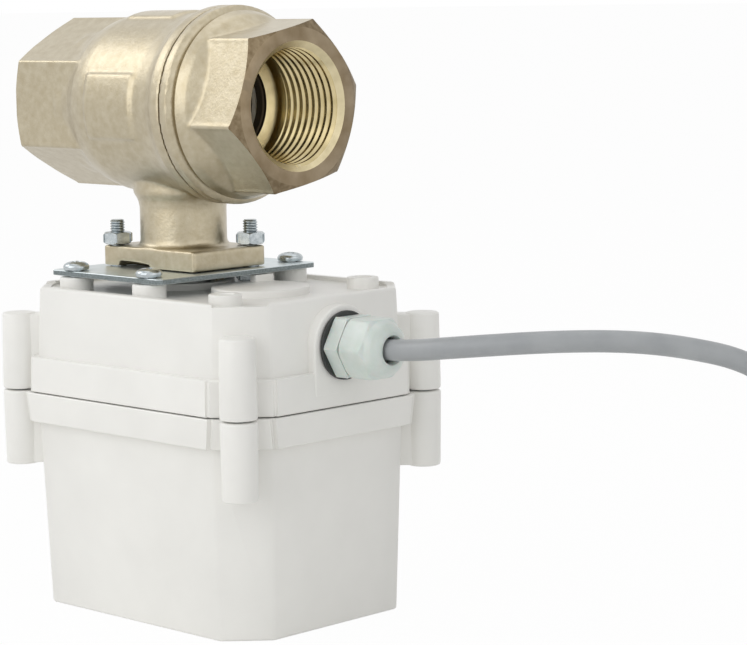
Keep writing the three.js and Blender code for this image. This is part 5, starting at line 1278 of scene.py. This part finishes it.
dome_nut = gland_hexagon("gland_dome_nut_polyamide", DOME_NUT_BACK, DOME_HEX_FRONT, 1.0, 0.9)
dome = turned("dome", [(0, 70), (7.2, 70), (7.6, 73.6), (7.55, 74.6), (7.3, 75.6), (6.7, 76.7), (5.8, 77.6),
    (4.8, 78.2), (4.2, 78.4), (0, 78.4)], 96)
forged(join(dome_nut, dome), 0.22)
bore = turned("bore", [(0, DOME_NUT_BACK - OVERRUN), (6.5, DOME_NUT_BACK - OVERRUN), (6.5, GLAND_NOSE + GAP),
    (DOME_HOLE, 75.6), (DOME_HOLE, 77.7), (DOME_HOLE + 0.5, 78.5), (DOME_HOLE + 0.5, 82), (0, 82)], 96)
combine(dome_nut, [bore], "DIFFERENCE", "MANIFOLD")
dress(lay_along_x(dome_nut, GLAND_HEIGHT), pale_polyamide, "housing", "gland_nylon",
    "gland_dome_nut", angle=50)


# Stem and its seals
# The brass stem is turned and milled: a tang in the ball, a collar against blow-out and a square in the
# output shaft. Two rubber rings and a PTFE washer seal it, and a PTFE ring seals the end cap.
def finish_nodes(finish, *nodes):
    """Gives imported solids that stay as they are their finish."""
    for node in nodes:
        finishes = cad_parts[node].data.materials
        finishes.clear()
        finishes.append(finish)


cut_brass = clouded("turned_bare_brass", "#c9a55f", 1.0, 0.26, "#bd9850", "#d3b06d", 2.5, 4.0,
    grain=(0.4, 0.012))
finish_nodes(cut_brass, "stem", "shaft_bush", "motor_pinion")
finish_nodes(black_rubber, "stem_seal_lower", "stem_seal_upper", "case_gasket")
finish_nodes(white_ptfe, "cap_seal", "thrust_washer")


# Gear train
# The output gear and its shaft are steel, the gear pressed from powder and
# sintered, so it is dull and faintly porous. The middle gear is moulded from
# acetal, waxy and off-white, and turns on a ground steel pin.
sintered_steel = clouded("sintered_steel", "#77797a", 1.0, 0.48, "#6c6e70", "#818384", 0.6, 4.0,
    grain=(0.35, 0.03))
acetal = clouded("moulded_acetal", "#e7e4d9", 0.0, 0.36, "#e2dfd3", "#ece9df", 5, grain=(0.5, 0.01))
ground_steel = clouded("zinc_plated_turned_steel", "#9da3a5", 1.0, 0.3, "#92989a", "#a7adaf", 2, 4.0,
    grain=(0.3, 0.008))
finish_nodes(sintered_steel, "output_gear")
finish_nodes(acetal, "middle_gear")
finish_nodes(ground_steel, "output_shaft", "middle_axle", "motor_shaft")


# Gear motor on its plate
# A small DC motor in a drawn steel can behind a zinc-plated gearhead, hung under the sheet steel plate that
# carries the whole train. Four pan-head screws hold the plate up in the lid.
drawn_steel, tree, shader = material("nickel_plated_drawn_steel", "#a3a5a4", 1.0, 0.3)
mottled(tree, shader, "#999b9a", "#adafae", 5, 3.0)
streaked(tree, shader, 0.5, 0.01, 8)
finish_nodes(drawn_steel, "drive_motor")
finish_nodes(bright_zinc, "gearhead")
finish_nodes(zinc_sheet, "gear_plate")
for (x, half_y), nodes, seed in ((GEAR_BOSSES[1], (1, 2), 2), (REAR_GEAR_BOSSES[1], (3, 4), 7)):
    gear_screw = pan_head_screw(*GEAR_SCREW)
    gear_screw.data.transform(Matrix.Rotation(math.pi, 4, "X"))
    pair = fastener_rows(f"gear_plate_screws_{nodes[0]}_{nodes[1]}", gear_screw, (x, -half_y, 0),
        (0, 2 * half_y, 0), 2, (0, 0, 0), 1, bright_zinc, QUARTER, seed)
    dress(pair, None, "housing", "zinc_steel", *[f"gear_plate_screw_{i}" for i in nodes])


# Cam and limit switches
# A glass-filled black cam on the shaft's tail, and two snap
# switches in black cases, slightly grained from the mould.
black_plastic = clouded("black_moulded_pbt", "#27292b", 0.0, 0.45, "#222426", "#2f3133", 2,
    grain=(0.35, 0.02))
finish_nodes(black_plastic, "limit_cam", "limit_switch_open", "limit_switch_shut")


# Circuit board
# Glass-epoxy board under green solder mask whose weave shows faintly, a blue relay case, a sleeved
# capacitor, a green terminal block and the grey inner lead to it.
solder_mask = clouded("green_solder_mask", "#2c6a44", 0.0, 0.28, "#27603c", "#33754d", 1.2, 1.0,
    grain=(0.6, 0.02, 0.0))
relay_case = clouded("blue_moulded_relay_case", "#2f63a8", 0.0, 0.35, "#2b5c9e", "#3369ae", 3,
    grain=(0.4, 0.012))
sleeve = clouded("dark_shrunk_sleeve", "#23262c", 0.0, 0.3, "#1e2126", "#2b2f35", 2, grain=(0.9, 0.01))
terminal_green = clouded("green_moulded_polyamide", "#3d8f4f", 0.0, 0.4, "#388647", "#429757", 3,
    grain=(0.4, 0.012))
finish_nodes(solder_mask, "circuit_board")
finish_nodes(relay_case, "relay")
finish_nodes(sleeve, "capacitor")
finish_nodes(terminal_green, "terminal_block")
finish_nodes(pvc_sheath, "inner_lead")
